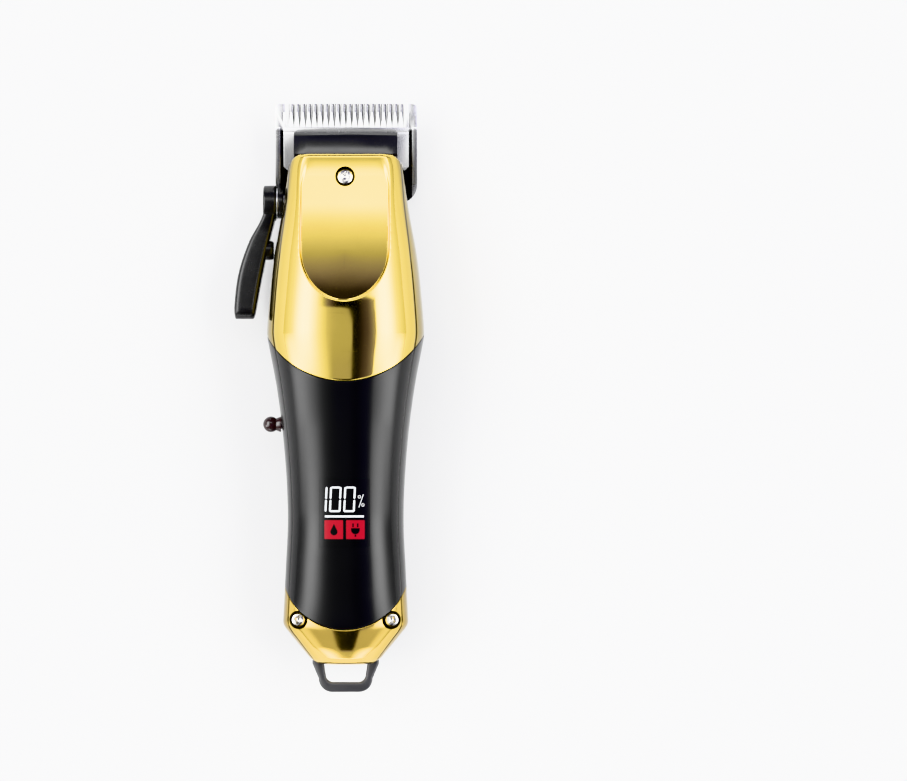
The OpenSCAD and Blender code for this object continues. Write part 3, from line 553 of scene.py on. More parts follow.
GOLD = (0.94, 0.715, 0.19)
GOLD_TAIL = (0.94, 0.675, 0.185)
# Painted shade goes into the gold, blade and cutter finishes through their tint functions
mats = {
    "gold": material("gold_polish", GOLD, 0.075, 1, vary=0.03, blotch=14, grain=0.6, bump=0.06,
                     rough_vary=0.02, scratch=0.05, tint_and_painted_shade=painted_trim_shade),
    "gold_tail": material("gold_tail_polish", GOLD_TAIL, 0.11, 1, vary=0.04, blotch=10, grain=0.5,
                          bump=0.08, rough_vary=0.025, scratch=0.05, tint_and_painted_shade=painted_trim_shade),
    "piano": material("piano_black", (0.0025, 0.0025, 0.0026), 0.2, vary=0.1, blotch=16, grain=1.6,
                      bump=0.04, rough_vary=0.02, ior=1.38, scratch=0.03),
    "satin": material("satin_black", (0.018, 0.018, 0.019), 0.42, vary=0.12, grain=0.16, bump=0.5,
                      depth=0.02, rough_vary=0.05),
    "nose": material("nose_gloss", (0.008, 0.008, 0.0085), 0.16, vary=0.1, grain=0.5, bump=0.05, ior=1.6),
    "loop": material("loop_plastic", (0.03, 0.03, 0.032), 0.24, vary=0.1, grain=0.2, bump=0.25, depth=0.01),
    "blade": material("blade_ground", (0.93, 0.93, 0.93), 0.24, 0.85, tint_and_painted_shade=blade_tint_and_flank_shade, vary=0.05,
                      grain=0.12, bump=0.25, depth=0.006, stretch=(0.05, 1, 1), rough_vary=0.06),
    "cutter": material("cutter_ground", (0.62, 0.62, 0.625), 0.24, 0.85, tint_and_painted_shade=cutter_tint_and_flank_shade, vary=0.06,
                       grain=0.12, bump=0.3, depth=0.006, stretch=(1, 0.05, 1), rough_vary=0.06),
    "steel": material("spring_steel", (0.6, 0.6, 0.62), 0.32, 1, grain=0.15, bump=0.2, depth=0.006,
                      stretch=(0.1, 1, 1), rough_vary=0.07),
    "screw": material("nickel_plate", (0.6, 0.59, 0.575), 0.2, 1, vary=0.06, blotch=2, grain=0.1,
                      bump=0.12, rough_vary=0.05),
    "nylon": material("white_nylon", (0.8, 0.8, 0.76), 0.45, vary=0.05, grain=0.2, bump=0.2, depth=0.01),
    "bronze": material("sintered_bronze", (0.6, 0.4, 0.16), 0.4, 1, vary=0.15, blotch=1, grain=0.1,
                       bump=0.5, depth=0.01),
    "rubber": material("rubber", (0.022, 0.022, 0.022), 0.7, vary=0.15, grain=0.1, bump=0.5, depth=0.02),
    "board": material("solder_mask", (0.012, 0.12, 0.045), 0.3, vary=0.2, blotch=3, grain=0.4, bump=0.3,
                      depth=0.01),
    "chip": material("moulded_chip", (0.015, 0.015, 0.016), 0.5, vary=0.15, blotch=2, grain=0.08,
                     bump=0.4, depth=0.008),
    "window": material("smoked_window", (0.0025, 0.0025, 0.0026), 0.17, vary=0.1, blotch=16, grain=1.6,
                       bump=0.04, rough_vary=0.015, ior=1.38),
    "lit": material("lit_white", (0.3, 0.31, 0.32), 0.17, vary=0.04, blotch=1.5, grain=0.2, ior=1.38,
                    glow=(1, 1, 1), glow_power=0.45),
    "lit_red": material("lit_red", (0.11, 0.003, 0.006), 0.17, ior=1.38, vary=0.06, blotch=1.5, grain=0.2,
                        glow=(1.0, 0.06, 0.1), glow_power=0.28),
    "wrap": material("shrink_wrap", (0.05, 0.22, 0.5), 0.25, vary=0.1, grain=1.0, bump=0.2, depth=0.02),
    "nickel": material("nickel_strip", (0.62, 0.6, 0.55), 0.3, 1, grain=0.15, bump=0.3,
                       stretch=(0.1, 1, 1)),
    "lead_red": material("silicone_red", (0.45, 0.015, 0.015), 0.5, grain=0.2, bump=0.2, depth=0.01),
    "lead_black": material("silicone_black", (0.02, 0.02, 0.02), 0.5, vary=0.1, grain=0.2, bump=0.2,
                           depth=0.01),
    "knob": material("knob_gloss", (0.022, 0.011, 0.011), 0.1, vary=0.15, blotch=3, grain=0.5, bump=0.05),
    "lever": material("lever_satin", (0.006, 0.006, 0.0062), 0.24, ior=1.42, vary=0.12, blotch=6,
                      grain=0.18, bump=0.3, depth=0.01, rough_vary=0.05),
}

# The CAD nodes that are shown as they are, by finish
PLAIN = {"nylon": "cutter_driver motor_end_cap eccentric_cam switch_slider battery_cradle",
         "steel": "taper_slide tension_spring lever_shaft motor_can motor_bracket motor_shaft "
                  "drive_pin switch_body usb_port",
         "screw": "slide_screws bracket_screws board_screws",
         "bronze": "motor_bush",
         "rubber": "motor_sleeve",
         "board": "main_board port_board",
         "chip": "board_parts display_module",
         "wrap": "battery_cell",
         "nickel": "battery_tabs",
         "lead_red": "battery_leads",
         "lead_black": "motor_leads"}
for finish, names in PLAIN.items():
    for name in names.split():
        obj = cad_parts[name]
        obj.data.materials.clear()
        obj.data.materials.append(mats[finish])


# ---------------------------------------------------------------- shells
def columns(count, low, high):
    """Angles spread evenly along the section from low to high, with extra ones by the parting line."""
    fine = np.linspace(low, high, 4001)
    e = 2 / ROUNDNESS
    x = 22 * np.sign(np.cos(fine)) * np.abs(np.cos(fine)) ** e
    z = 20 * np.sign(np.sin(fine)) * np.abs(np.sin(fine)) ** e
    run = np.concatenate([[0], np.cumsum(np.hypot(np.diff(x), np.diff(z)))])
    spread = np.interp(np.linspace(0, run[-1], count), run, fine)
    near = np.interp([0.05, 0.11, 0.18, 0.26, 0.36], run, fine) - low
    groove = np.arccos((LINE_SHARE + np.linspace(-0.013, 0.013, 11)) ** (ROUNDNESS / 2)) + low
    return np.unique(np.concatenate([spread, low + near, high - near, groove,
                                     high + low - groove]).round(7))


def wall_between(outer, inner, start=True):
    """Vertices and faces of a wall between two grids of points, without its start edge if start is False."""
    count, wide = outer.shape[:2]
    n = count * wide
    faces = []
    for j in range(count - 1):
        for i in range(wide - 1):
            p, q, r, s = j * wide + i, j * wide + i + 1, (j + 1) * wide + i + 1, (j + 1) * wide + i
            faces += [(p, q, r, s), (n + s, n + r, n + q, n + p)]
        for i in (0, wide - 1):
            faces.append((j * wide + i, (j + 1) * wide + i, n + (j + 1) * wide + i, n + j * wide + i))
    for i in range(wide - 1):
        for row in ((count - 1) * wide, 0)[:1 + start]:
            faces.append((row + i, row + i + 1, n + row + i + 1, n + row + i))
    return np.concatenate([outer.reshape(-1, 3), inner.reshape(-1, 3)]), faces


def shell(name, angles, starts, ends, rows, lift=0.04, edge=0.3, start_edge=None, end_edge=None,
          capped=False, floor=None):
    """Closed shell between two angles, from starts to ends, with rounded rims."""
    start_edge = edge if start_edge is None else start_edge
    end_edge = edge if end_edge is None else end_edge
    grow = np.array([0, 0.06, 0.16, 0.3, 0.48, 0.7, 1.0])
    length = ends - starts
    head = grow[:, None] * start_edge * np.ones_like(length)
    tail = length - grow[::-1, None] * end_edge
    body = head[-1] + np.linspace(0, 1, rows)[1:-1, None] * (tail[0] - head[-1])
    along = np.concatenate([head, body, tail])
    y = starts + along
    a = np.broadcast_to(angles, y.shape)
    z0 = skin(a, y, 0)[1]
    inset = np.maximum(lip(along, start_edge), lip(length - along, end_edge))
    inset = np.maximum(inset, lip(np.abs(z0 - PART_Z), edge))
    up = z0.mean() > PART_Z
    if up:
        share = np.abs(np.cos(a)) ** (2 / ROUNDNESS)
        groove = GROOVE_DEEP * np.exp(-((share - LINE_SHARE) / GROOVE_WIDE) ** 2)
        inset = inset + groove * np.clip((GROOVE_END_Y - y) / GROOVE_FADE, 0, 1)
    x, z = skin(a, y, inset)
    rim = np.abs(z - PART_Z) < lift
    z = np.where(rim, PART_Z + (lift if up else -lift), z)
    if floor is not None:
        z = -soft_min(-z, -np.full_like(z, floor), 0.5)
    inner_y = starts + (WALL * (1 - along / length) if capped else 0) + along
    inner_y = np.minimum(inner_y, ends)
    xi, zi = skin(a, inner_y, WALL)
    zi = np.where(np.abs(zi - PART_Z) < lift, PART_Z + (lift if up else -lift), zi)
    if up and not capped:
        zi = np.where(inner_y > SCOOP_END_Y, np.minimum(zi, scoop_floor(inner_y) - WALL), zi)
    if floor is not None:
        zi = np.maximum(zi, floor + WALL * 0.9)
    verts, faces = wall_between(np.stack([x, y, z], -1), np.stack([xi, inner_y, zi], -1), not capped)
    if capped:
        n, wide = y.size, y.shape[1]
        side = lift if up else -lift
        tips = np.array([[0, starts[0], PART_Z + side], [0, starts[0] + WALL, PART_Z + side]])
        verts = np.concatenate([verts, tips])
        for i in range(wide - 1):
            faces += [(i, i + 1, 2 * n), (n + i + 1, n + i, 2 * n + 1)]
        for i in (0, wide - 1):
            faces += [(i, n + i, 2 * n + 1, 2 * n)]
    return build(name, verts, faces)


top_angles = columns(170, 0, math.pi)
lid_starts = seam_rows(top_angles, True)
cap_ends = seam_rows(top_angles, False)


def corner_ends(angles, end_y, half, r):
    """End line with corners of radius r in plan."""
    x = np.abs(skin(angles, np.full(len(angles), end_y - r), 0)[0])
    over = np.clip(x - (half - r), 0, r)
    return end_y - (r - np.sqrt(np.maximum(r * r - over * over, 0)))


LID_LIP = 1.1


def scoop_tool():
    """Solid that cuts the scoop: loops run round the U, from just outside its rim in to the middle."""
    ys = np.concatenate([[LID_END_Y + 3, LID_END_Y + 0.1], LID_END_Y - LID_LIP * np.linspace(0, 1, 9) ** 2,
                         np.linspace(LID_END_Y - LID_LIP - 0.3, SCOOP_MID_Y, 69)])
    round_end = np.linspace(0, -math.pi, 130)[1:-1]
    insets = [-0.6, -0.4, -0.3, -0.2, -0.1, 0, 0.1, 0.2, 0.3, 0.4, 0.5, 0.6, 0.75, 1, 1.4, 2, 3, 4.5, 7, 10,
              14.1]
    loops = []
    for d in insets:
        half, deep = SCOOP_HALF - d, SCOOP_MID_Y - SCOOP_END_Y - d
        x = np.concatenate([np.full(80, half), half * np.cos(round_end), np.full(80, -half)])
        y = np.concatenate([ys, SCOOP_MID_Y + deep * np.sin(round_end), ys[::-1]])
        floor_z, top = scoop_floor(y), top_surface(x, np.minimum(y, LID_END_Y))
        wall = SCOOP_WALL + 0.3 * np.maximum(y - 68, 0)
        t = np.clip((d + SCOOP_RIM) / (wall + SCOOP_RIM), 0, 1)
        z = floor_z + np.maximum(top - floor_z, 0.03) * (1 - t * t * (3 - 2 * t))
        z = z - lip(LID_END_Y - y, LID_LIP)
        loops.append(np.stack([x, y, z + (0.05 if d < -0.5 else 0)], -1))
    m = len(loops[0])
    above = loops[0].copy()
    above[:, 2] = 60
    verts = np.concatenate(loops + [above])
    faces = [(j * m + k, j * m + k + 1, (j + 1) * m + k + 1, (j + 1) * m + k)
             for j in range(len(insets) - 1) for k in range(m - 1)]
    inner, top = (len(insets) - 1) * m, len(insets) * m
    faces += [(inner + k, inner + k + 1, inner + m - 2 - k, inner + m - 1 - k) for k in range(m // 2 - 1)]
    faces += [(k, k + 1, top + k + 1, top + k) for k in range(m - 1)]
    faces.append(tuple(range(top, top + m)))
    rows = range(len(insets))
    faces.append(tuple([j * m for j in rows] + [j * m + m - 1 for j in rows][::-1] + [top + m - 1, top]))
    return build("scoop", verts, faces)


lid_ends = corner_ends(top_angles, LID_END_Y, 17.6, 2.2)
lid = shell("lid_shell", top_angles, lid_starts, lid_ends, 175, end_edge=LID_LIP)
LID_SCREW_Y = 70.9
lid_tilt = -math.degrees(math.atan(SEAT_SLOPE))
on_scoop = at(0, LID_SCREW_Y, float(scoop_floor(LID_SCREW_Y))) @ turn(lid_tilt, "X")
combine(lid, [scoop_tool()])
combine(lid, [place(rod("recess", 3.2, -1.7, 5, 96), on_scoop), place(rod("hole", 1.7, -6, 1), on_scoop)])
even_shading(lid)
stand_for(lid, "housing", "gold", "lid")

front = shell("front_shell_gloss", top_angles, cap_ends, lid_starts - SHUT_GAP, 150)
WINDOW_HW, WINDOW_Y = 8.0, (-48.0, -26.0)
gap = 0.03
combine(front, [block("opening", (-WINDOW_HW - gap, WINDOW_Y[0] - gap, 25),
                      (WINDOW_HW + gap, WINDOW_Y[1] + gap, 45))])
stand_for(front, "housing", "piano", "front_shell")

tail = shell("tail_cap_shell", top_angles, np.full(len(top_angles), TAIL_Y), cap_ends - SHUT_GAP, 60,
             start_edge=2.2, capped=True)
TAIL_SCREW, TAIL_SEAT_Z = (14.9, -71.5), 25.2
combine(tail, [place(rod("post", 3.5, PART_Z + 0.1, TAIL_SEAT_Z), m) for m in both(TAIL_SCREW)], "UNION")
tools = [place(rod("well", 3.0, TAIL_SEAT_Z, 40, 96), m) for m in both(TAIL_SCREW)]
tools += [place(rod("hole", 1.5, 10, 40), m) for m in both(TAIL_SCREW)]
LOOP_T, LOOP_FOOT_X, LOOP_SLOT_HW = 3.2, 8.9, 2.0


def loop_slot(s):
    """Cutter for the slot that a foot of the hanging loop sits in, on side s."""
    x, tall = s * LOOP_FOOT_X, LOOP_T / 2 + 0.1
    return block("slot", (x - LOOP_SLOT_HW, TAIL_Y - 4, PART_Z - tall),
                 (x + LOOP_SLOT_HW, TAIL_Y + 3.95, PART_Z + tall))


combine(tail, tools + [loop_slot(s) for s in SIDES])
stand_for(tail, "housing", "gold_tail", "tail_cap")

low_angles = columns(130, math.pi, 2 * math.pi)
housing = shell("rear_housing_shell", low_angles, np.full(len(low_angles), TAIL_Y),
                np.full(len(low_angles), HOUSING_END_Y), 190, start_edge=2.2, capped=True, floor=0.0)
HEEL_Y, HEEL_Z, TILT = 62.0, 3.5, 12.0
BLADE_T, BLADE_GAP, HEEL_U, TIP_U = 2.6, 0.05, 1.6, 34.2
on_blade = at(0, HEEL_Y, HEEL_Z) @ turn(TILT, "X")
HUB_Y, HUB_Z, HUB_R, SHAFT_R = 62.7, 11.4, 5.8, 3.0
HUB_FACE_X, HUB_BACK_X, COLLAR_X = -26.8, -22.6, -20.2
HOUSING_SCREW = (14.0, 13.0)
SWITCH_Y, SWITCH_Z, SWITCH_TRAVEL = -8.9, 13.6, 3.0
along_x = turn(90, "Y")
at_hub = at(0, HUB_Y, HUB_Z) @ along_x
combine(housing, [place(rod("boss", 4.2, 1.0, 12), m) for m in both(HOUSING_SCREW)], "UNION")
tools = [place(block("bed", (-30, HEEL_U - 0.3, -12), (30, 52, BLADE_T + BLADE_GAP)), on_blade),
         place(rod("bore", SHAFT_R + 0.05, -30, -10), at_hub),
         place(rod("spot", HUB_R + 0.2, -30, COLLAR_X + 0.05, 96), at_hub)]
for s, m in zip(SIDES, both(HOUSING_SCREW)):
    tools += [place(rod("well", 2.7, -1, 3, 72), m), place(rod("hole", 1.6, 2, 20), m), loop_slot(s)]
STEM_R = 1.6
stem = pill(SWITCH_Y - SWITCH_TRAVEL, SWITCH_Y, SWITCH_Z, STEM_R)
tools.append(from_side("stem_slot", stem, -30, -14))
PORT_Z, PORT_HW, PORT_HH = 11.5, 4.5, 1.65
grown = PORT_HH + 0.15
port_x = PORT_HW - PORT_HH
socket = plate("socket", pill(-port_x, port_x, PORT_Z, grown), TAIL_Y - 1, TAIL_Y + 4)
place(socket, Matrix(((1, 0, 0, 0), (0, 0, 1, 0), (0, 1, 0, 0), (0, 0, 0, 1))))
tools.append(socket)
combine(housing, tools)
stand_for(housing, "housing", "satin", "rear_housing")


def window_patch():
    """Smoked window, flush with the shell."""
    gx, gy = np.meshgrid(np.linspace(-WINDOW_HW, WINDOW_HW, 41), np.linspace(*WINDOW_Y, 45))
    top = np.stack([gx, gy, top_surface(gx, gy)], -1)
    return build("display_window_glass", *wall_between(top, top - (0, 0, 1.4)))


stand_for(window_patch(), "housing", "window", "display_window")


# ---------------------------------------------------------------- display figures, in the window's surface
def inlay(name, polygons, lift):
    """Thin figures that follow the window's curve."""
    bm = bmesh.new()
    for poly in polygons:
        bm.faces.new([bm.verts.new((x, y, 0)) for x, y in poly])
    for k in range(-16, 17):
        bmesh.ops.bisect_plane(bm, geom=bm.verts[:] + bm.edges[:] + bm.faces[:], plane_co=(k * 0.5, 0, 0),
                               plane_no=(1, 0, 0), dist=1e-4)
    bmesh.ops.recalc_face_normals(bm, faces=bm.faces)
    low = bmesh.ops.extrude_face_region(bm, geom=bm.faces[:])
    moved = {v for v in low["geom"] if isinstance(v, bmesh.types.BMVert)}
    for v in bm.verts:
        z = float(top_surface(v.co.x, v.co.y)) + lift
        v.co.z = z if v in moved else z - 0.12
    for v in bm.verts:
        v.co *= MM
    bmesh.ops.recalc_face_normals(bm, faces=bm.faces)
    mesh = bpy.data.meshes.new(name)
    bm.to_mesh(mesh)
    bm.free()
    return finish_mesh(name, mesh)


DIGIT_Y, DIGIT_H, DIGIT_W, BAR = -36.8, 8.2, 3.7, 0.62
SLANT = 0.05


def figure(x0, bars):
    """Seven-bar figure with mitred bars, leaning a little."""
    w, h, b, g = DIGIT_W, DIGIT_H, BAR, 0.09
    half = h / 2

    def flat(y0):
        return [(g + 0.1, y0 + b / 2), (g + b / 2, y0), (w - g - b / 2, y0), (w - g - 0.1, y0 + b / 2),
                (w - g - b, y0 + b), (g + b, y0 + b)]

    def tall(x, y0):
        return [(x, y0 + b / 2 + g), (x + b / 2, y0 + g), (x + b, y0 + b / 2 + g),
                (x + b, y0 + half - b / 2 - g), (x + b / 2, y0 + half - g), (x, y0 + half - b / 2 - g)]

    shapes = [flat(h - b), tall(w - b, half), tall(w - b, 0), flat(0), tall(0, 0), tall(0, half)]
    return [[(x0 + x + SLANT * y, DIGIT_Y + y) for x, y in shapes[k]] for k in bars]


digits = figure(-9.5, [1, 2]) + figure(-5.0, range(6)) + figure(-0.45, range(6))
for cx, cy in ((4.75, -31.9), (5.85, -34.5)):
    outer, inner = arc(cx, cy, 0.56, 0, 360, 17)[:-1], arc(cx, cy, 0.27, 0, 360, 17)[:-1]
    digits += [[outer[k], outer[(k + 1) % 16], inner[(k + 1) % 16], inner[k]] for k in range(16)]
digits.append([(4.45, -35.3), (4.7, -35.3), (6.15, -31.1), (5.9, -31.1)])
digits.append(oblong(-6.3, 6.2, -38.5, -37.85))
stand_for(inlay("display_figures", digits, 0.02), "housing", "lit", "display_digits")

TILES = ((-6.45, -0.5), (0.5, 6.4))
TILE_Y = (-45.4, -39.4)
tiles = [rounded(x0, x1, *TILE_Y, 0.25) for x0, x1 in TILES]
stand_for(inlay("display_tiles_red", tiles, 0.02), "housing", "lit_red", "display_tiles")

drop_x, plug_x, icon_y = -3.4, 3.45, -42.4
drop = arc(drop_x, icon_y - 0.7, 1.15, 200, 340, 12) + arc(drop_x, icon_y - 0.7, 1.15, -20, 25, 5)
drop += [(drop_x, icon_y + 1.9)] + arc(drop_x, icon_y - 0.7, 1.15, 155, 195, 5)
plug = (arc(plug_x, icon_y - 0.1, 1.4, 180, 360, 14)
        + [(plug_x + 1.4, icon_y + 0.5), (plug_x - 1.4, icon_y + 0.5)])
icons = [drop, plug, oblong(plug_x - 0.25, plug_x + 0.25, icon_y - 2.3, icon_y - 1.6)]
icons += [oblong(x, x + 0.5, icon_y + 0.75, icon_y + 2.0) for x in (plug_x - 1.0, plug_x + 0.5)]
stand_for(inlay("display_icons", icons, 0.04), "housing", "window")


# ---------------------------------------------------------------- screws
def pan_head(name, r, h, shank_r, shank_l, spin=20):
    """Pan head with a cross recess whose top is at z = 0, and its shank."""
    steps, rings_n = 96, 30
    radii = np.concatenate([np.linspace(0, r * 0.72, rings_n),
                            r * (0.72 + 0.28 * np.sin(np.linspace(0.15, 1, 8) * math.pi / 2))])
    wing, span, deep = 0.17 * r, 0.62 * r, 0.75 * h
    verts, faces = [(0, 0, -deep)], []
    for q in radii[1:]:
        crown = -h * 0.42 * (1 - math.sqrt(max(1 - min(q / r, 1) ** 3.2, 0)))
        for k in range(steps):
            t = 2 * math.pi * k / steps
            u, v = abs(q * math.cos(t + math.radians(spin))), abs(q * math.sin(t + math.radians(spin)))
            narrow, far = min(u, v), max(u, v)
            cut = (np.clip((wing * (1.25 - 0.35 * far / span) - narrow) / (0.08 * r) + 0.5, 0, 1)
                   * np.clip((span - far) / (0.1 * r) + 0.5, 0, 1))
            cut = max(cut, float(np.clip((0.3 * r - q) / (0.1 * r) + 0.5, 0, 1)))
            sink = deep * (1 - 0.55 * (q / span) ** 2 if q < span else 0.45)
            verts.append((q * math.cos(t), q * math.sin(t), crown - cut * sink))
    for q, z in ((r, -h), (shank_r, -h), (shank_r, -h - shank_l)):
        verts += circle(q, z, steps)
    faces += [(0, 1 + k, 1 + (k + 1) % steps) for k in range(steps)]
    for base in range(1, len(verts) - steps, steps):
        faces += bridge(base, base + steps, steps)
    faces.append(tuple(range(len(verts) - steps, len(verts))))
    return build(name, verts, faces)


def screws(name, places, size, body, cad):
    """Identical screws as one piece; size is head radius, head height, shank radius and shank length."""
    heads = [place(pan_head("head", *size, spin=18 + 23 * i), m) for i, m in enumerate(places)]
    stand_for(join(name, heads), body, "screw", cad)


screws("lid_screw_head", [on_scoop @ at(0, 0, -0.35)], (2.5, 1.3, 1.25, 4.6), "housing", "lid_screw")
screws("tail_screw_heads", both(TAIL_SCREW, TAIL_SEAT_Z + 1.5), (2.25, 1.5, 1.2, 13.4), "housing",
       "tail_screws")
screws("housing_screw_heads", [m @ turn(180, "X") for m in both(HOUSING_SCREW, 1.4)],
       (2.4, 1.6, 1.25, 20), "housing", "housing_screws")
BLADE_SCREW = (11.0, 5.5)
screws("blade_screw_heads", [on_blade @ m @ turn(180, "X") for m in both(BLADE_SCREW, 0.1)],
       (2.6, 0.8, 1.3, 3.6), "housing", "blade_screws")
LEVER_REST = -7.0
on_lever = at(0, HUB_Y, HUB_Z) @ turn(LEVER_REST, "X")
screws("lever_screw_head", [on_lever @ at(HUB_FACE_X + 0.3, 0, 0) @ turn(-90, "Y")], (2.8, 1.25, 1.25, 6),
       "lever", "lever_screw")

# ---------------------------------------------------------------- nose, loop
NOSE_HW, NOSE_WALL, NOSE_Y = 16.7, 1.8, 85.5
nose_y0, nose_z0 = HOUSING_END_Y + 0.2, 10.2
nose_z1 = nose_z0 + (NOSE_Y - nose_y0) * math.tan(math.radians(TILT))
nose = from_side("nose_cover", [(nose_y0, nose_z0), (nose_y0, PART_Z - 0.1),
                                (LID_END_Y + 0.2, PART_Z - 0.1), (LID_END_Y + 0.2, 22.6), (84.0, 20.55),
                                (84.65, 20.15), (85.1, 19.6), (85.4, 18.9), (NOSE_Y, 18.1),
                                (NOSE_Y, nose_z1)], -NOSE_HW, NOSE_HW, 16, 1.3, 17.2)
hollow = from_side("hollow", [(nose_y0 - 1, nose_z0 - 3), (nose_y0 - 1, 18), (LID_END_Y - 1, 20.6),
                              (80.4, 19.8), (82.5, 18.5), (NOSE_Y - NOSE_WALL, 16.6),
                              (NOSE_Y - NOSE_WALL, nose_z1 - 3)], NOSE_WALL - NOSE_HW, NOSE_HW - NOSE_WALL)
combine(nose, [hollow])
FACET_SLOPE = 0.34
facet = at(0, LID_SCREW_Y, SCOOP_TOP_Z - FACET_SLOPE * (LID_SCREW_Y - SCOOP_END_Y))
facet = facet @ turn(-math.degrees(math.atan(FACET_SLOPE)), "X")
tongue = place(block("tongue", (-14.2, -5, -5.3), (14.2, 10.5, -3.5)), facet)
boss = place(rod("boss", 3.0, -7.3, -4.3), facet)
combine(nose, [tongue, boss], "UNION")
combine(nose, [place(rod("hole", 1.25, -9, 0), facet)])
soften(nose, 0.55, 4, 50)
stand_for(nose, "housing", "nose", "nose_guard")

outer = ([(10.8, TAIL_Y + 3.8), (10.75, TAIL_Y)]
         + arc(4.3, -90.9, 4.43, 0, -90, 14) + arc(-4.3, -90.9, 4.43, -90, -180, 14))
outer += [(-10.75, TAIL_Y), (-10.8, TAIL_Y + 3.8)]
inner = ([(-7, TAIL_Y + 3.8), (-7, TAIL_Y)]
         + arc(-4.0, -89.7, 2.4, 186, 270, 10) + arc(4.0, -89.7, 2.4, 270, 354, 10))
inner += [(7, TAIL_Y), (7, TAIL_Y + 3.8)]
loop = plate("hanging_loop_bow", outer + inner, PART_Z - LOOP_T / 2, PART_Z + LOOP_T / 2)
soften(loop, 0.75, 3, 50, 24)
stand_for(loop, "housing", "loop", "hanging_loop")

# ---------------------------------------------------------------- blades
GAPS, PITCH = 21, 1.87
VALLEY_U, CUTTER_TIP_U, CUTTER_U, STRIP_U, CUTTER_T = 27.0, 31.5, 12.7, 25.3, 1.7
RAIL_U, BLADE_HALF = 8.0, 23.0
BEVEL_U, BEVEL_TILT = 20, 7.5


def blade_outline():
    """Plate with its two corner teeth; the comb's teeth are joined to it."""
    r, end = 6.0, (GAPS / 2) * PITCH + 0.12
    line = arc(r - BLADE_HALF, HEEL_U + r, r, 180, 270, 12)
    line += arc(BLADE_HALF - r, HEEL_U + r, r, 270, 360, 12)
    line += arc(BLADE_HALF - 1.7, TIP_U - 1.7, 1.7, 0, 90, 8) + [(end, TIP_U), (end, VALLEY_U)]
    return line + [(-end, VALLEY_U), (-end, TIP_U)] + arc(1.7 - BLADE_HALF, TIP_U - 1.7, 1.7, 90, 180, 8)


def blade_teeth():
    """Teeth of the fixed comb: flat on top, and wider below, so their flanks show from above."""
    verts, faces = [], []
    sections = ((VALLEY_U - 0.4, 0.62, 0.9), (TIP_U - 0.9, 0.54, 0.9), (TIP_U - 0.25, 0.5, 0.82),
                (TIP_U, 0.38, 0.56))
    for i in range(GAPS - 1):
        x = (GAPS - 2) / 2 * PITCH - i * PITCH
        n = len(verts)
        for u, top, low in sections:
            under = (u - BEVEL_U) * math.tan(math.radians(BEVEL_TILT)) + 0.03
            verts += [(x - low, u, under), (x + low, u, under), (x + top, u, BLADE_T),
                      (x - top, u, BLADE_T)]
        faces += [(n, n + 1, n + 2, n + 3), (n + 12, n + 13, n + 14, n + 15)]
        for row in (n, n + 4, n + 8):
            faces += bridge(row, row + 4, 4)
    return build("teeth", verts, faces)


blade = plate("stationary_blade_plate", blade_outline(), 0, BLADE_T)
rails = [block("rail", (s * RAIL_MID - RAIL_HALF, RAIL_U, 0.5),
               (s * RAIL_MID + RAIL_HALF, VALLEY_U - 0.5, BLADE_T + 1.2)) for s in SIDES]
combine(blade, rails + [blade_teeth()], "UNION")
tools = [place(block("bevel", (-30, 0, 0), (30, 20, 6.02)), at(0, BEVEL_U, -6) @ turn(BEVEL_TILT, "X"))]
for m in both(BLADE_SCREW):
    tools += [place(rod("hole", 1.6, -1, 5), m), place(rod("seat", 2.8, -1, 0.9), m)]
combine(blade, tools)
soften(blade, 0.07, 2, 40)
place(blade, on_blade)
stand_for(blade, "housing", "blade", "stationary_blade")

half, chamfer = CUTTER_HALF, 1.2
base_line = [(-half, CUTTER_U + chamfer), (chamfer - half, CUTTER_U), (half - chamfer, CUTTER_U),
             (half, CUTTER_U + chamfer)]
comb_line = [(-half, STRIP_U), (half, STRIP_U), (half, CUTTER_TIP_U)]
for i in range(GAPS):
    x = (GAPS - 1) / 2 * PITCH - i * PITCH
    comb_line += [(x + 0.7, CUTTER_TIP_U), (x + 0.1, VALLEY_U), (x - 0.1, VALLEY_U),
                  (x - 0.7, CUTTER_TIP_U)]
comb_line.append((-half, CUTTER_TIP_U))
cutter_base = plate("cutter_plate", base_line + [(half, STRIP_U + 0.1), (-half, STRIP_U + 0.1)], 0,
                    CUTTER_T)
comb = plate("comb", comb_line, 0, CUTTER_T + 0.5)
fall = math.degrees(math.atan((CUTTER_T + 0.5 - 0.8) / 4.8))
combine(comb, [place(block("slope", (-30, 0, 0), (30, 20, 9)),
                     at(0, VALLEY_U - 0.3, CUTTER_T + 0.5) @ turn(-fall, "X"))])
combine(cutter_base, [comb], "UNION")
combine(cutter_base, [place(rod("hole", 1.0, -1, 8), m) for m in both((4, 17))])
soften(cutter_base, 0.12, 2, 40)
place(cutter_base, on_blade @ at(0, 0, BLADE_T + BLADE_GAP))
stand_for(cutter_base, "cutter", "cutter", "cutter_blade")

# ---------------------------------------------------------------- lever
OUTER_EDGE = [(24.0, -35.9), (29.6, -36.0), (39.8, -34.7), (49.9, -31.4), (58.6, -27.0), (66, HUB_FACE_X)]
INNER_EDGE = [(24.0, -29.7), (27.5, -29.0), (38, -27.2), (50.3, -24.7), (58.6, -22.8), (66, HUB_BACK_X)]
LEVER_ROUNDNESS = 4.6


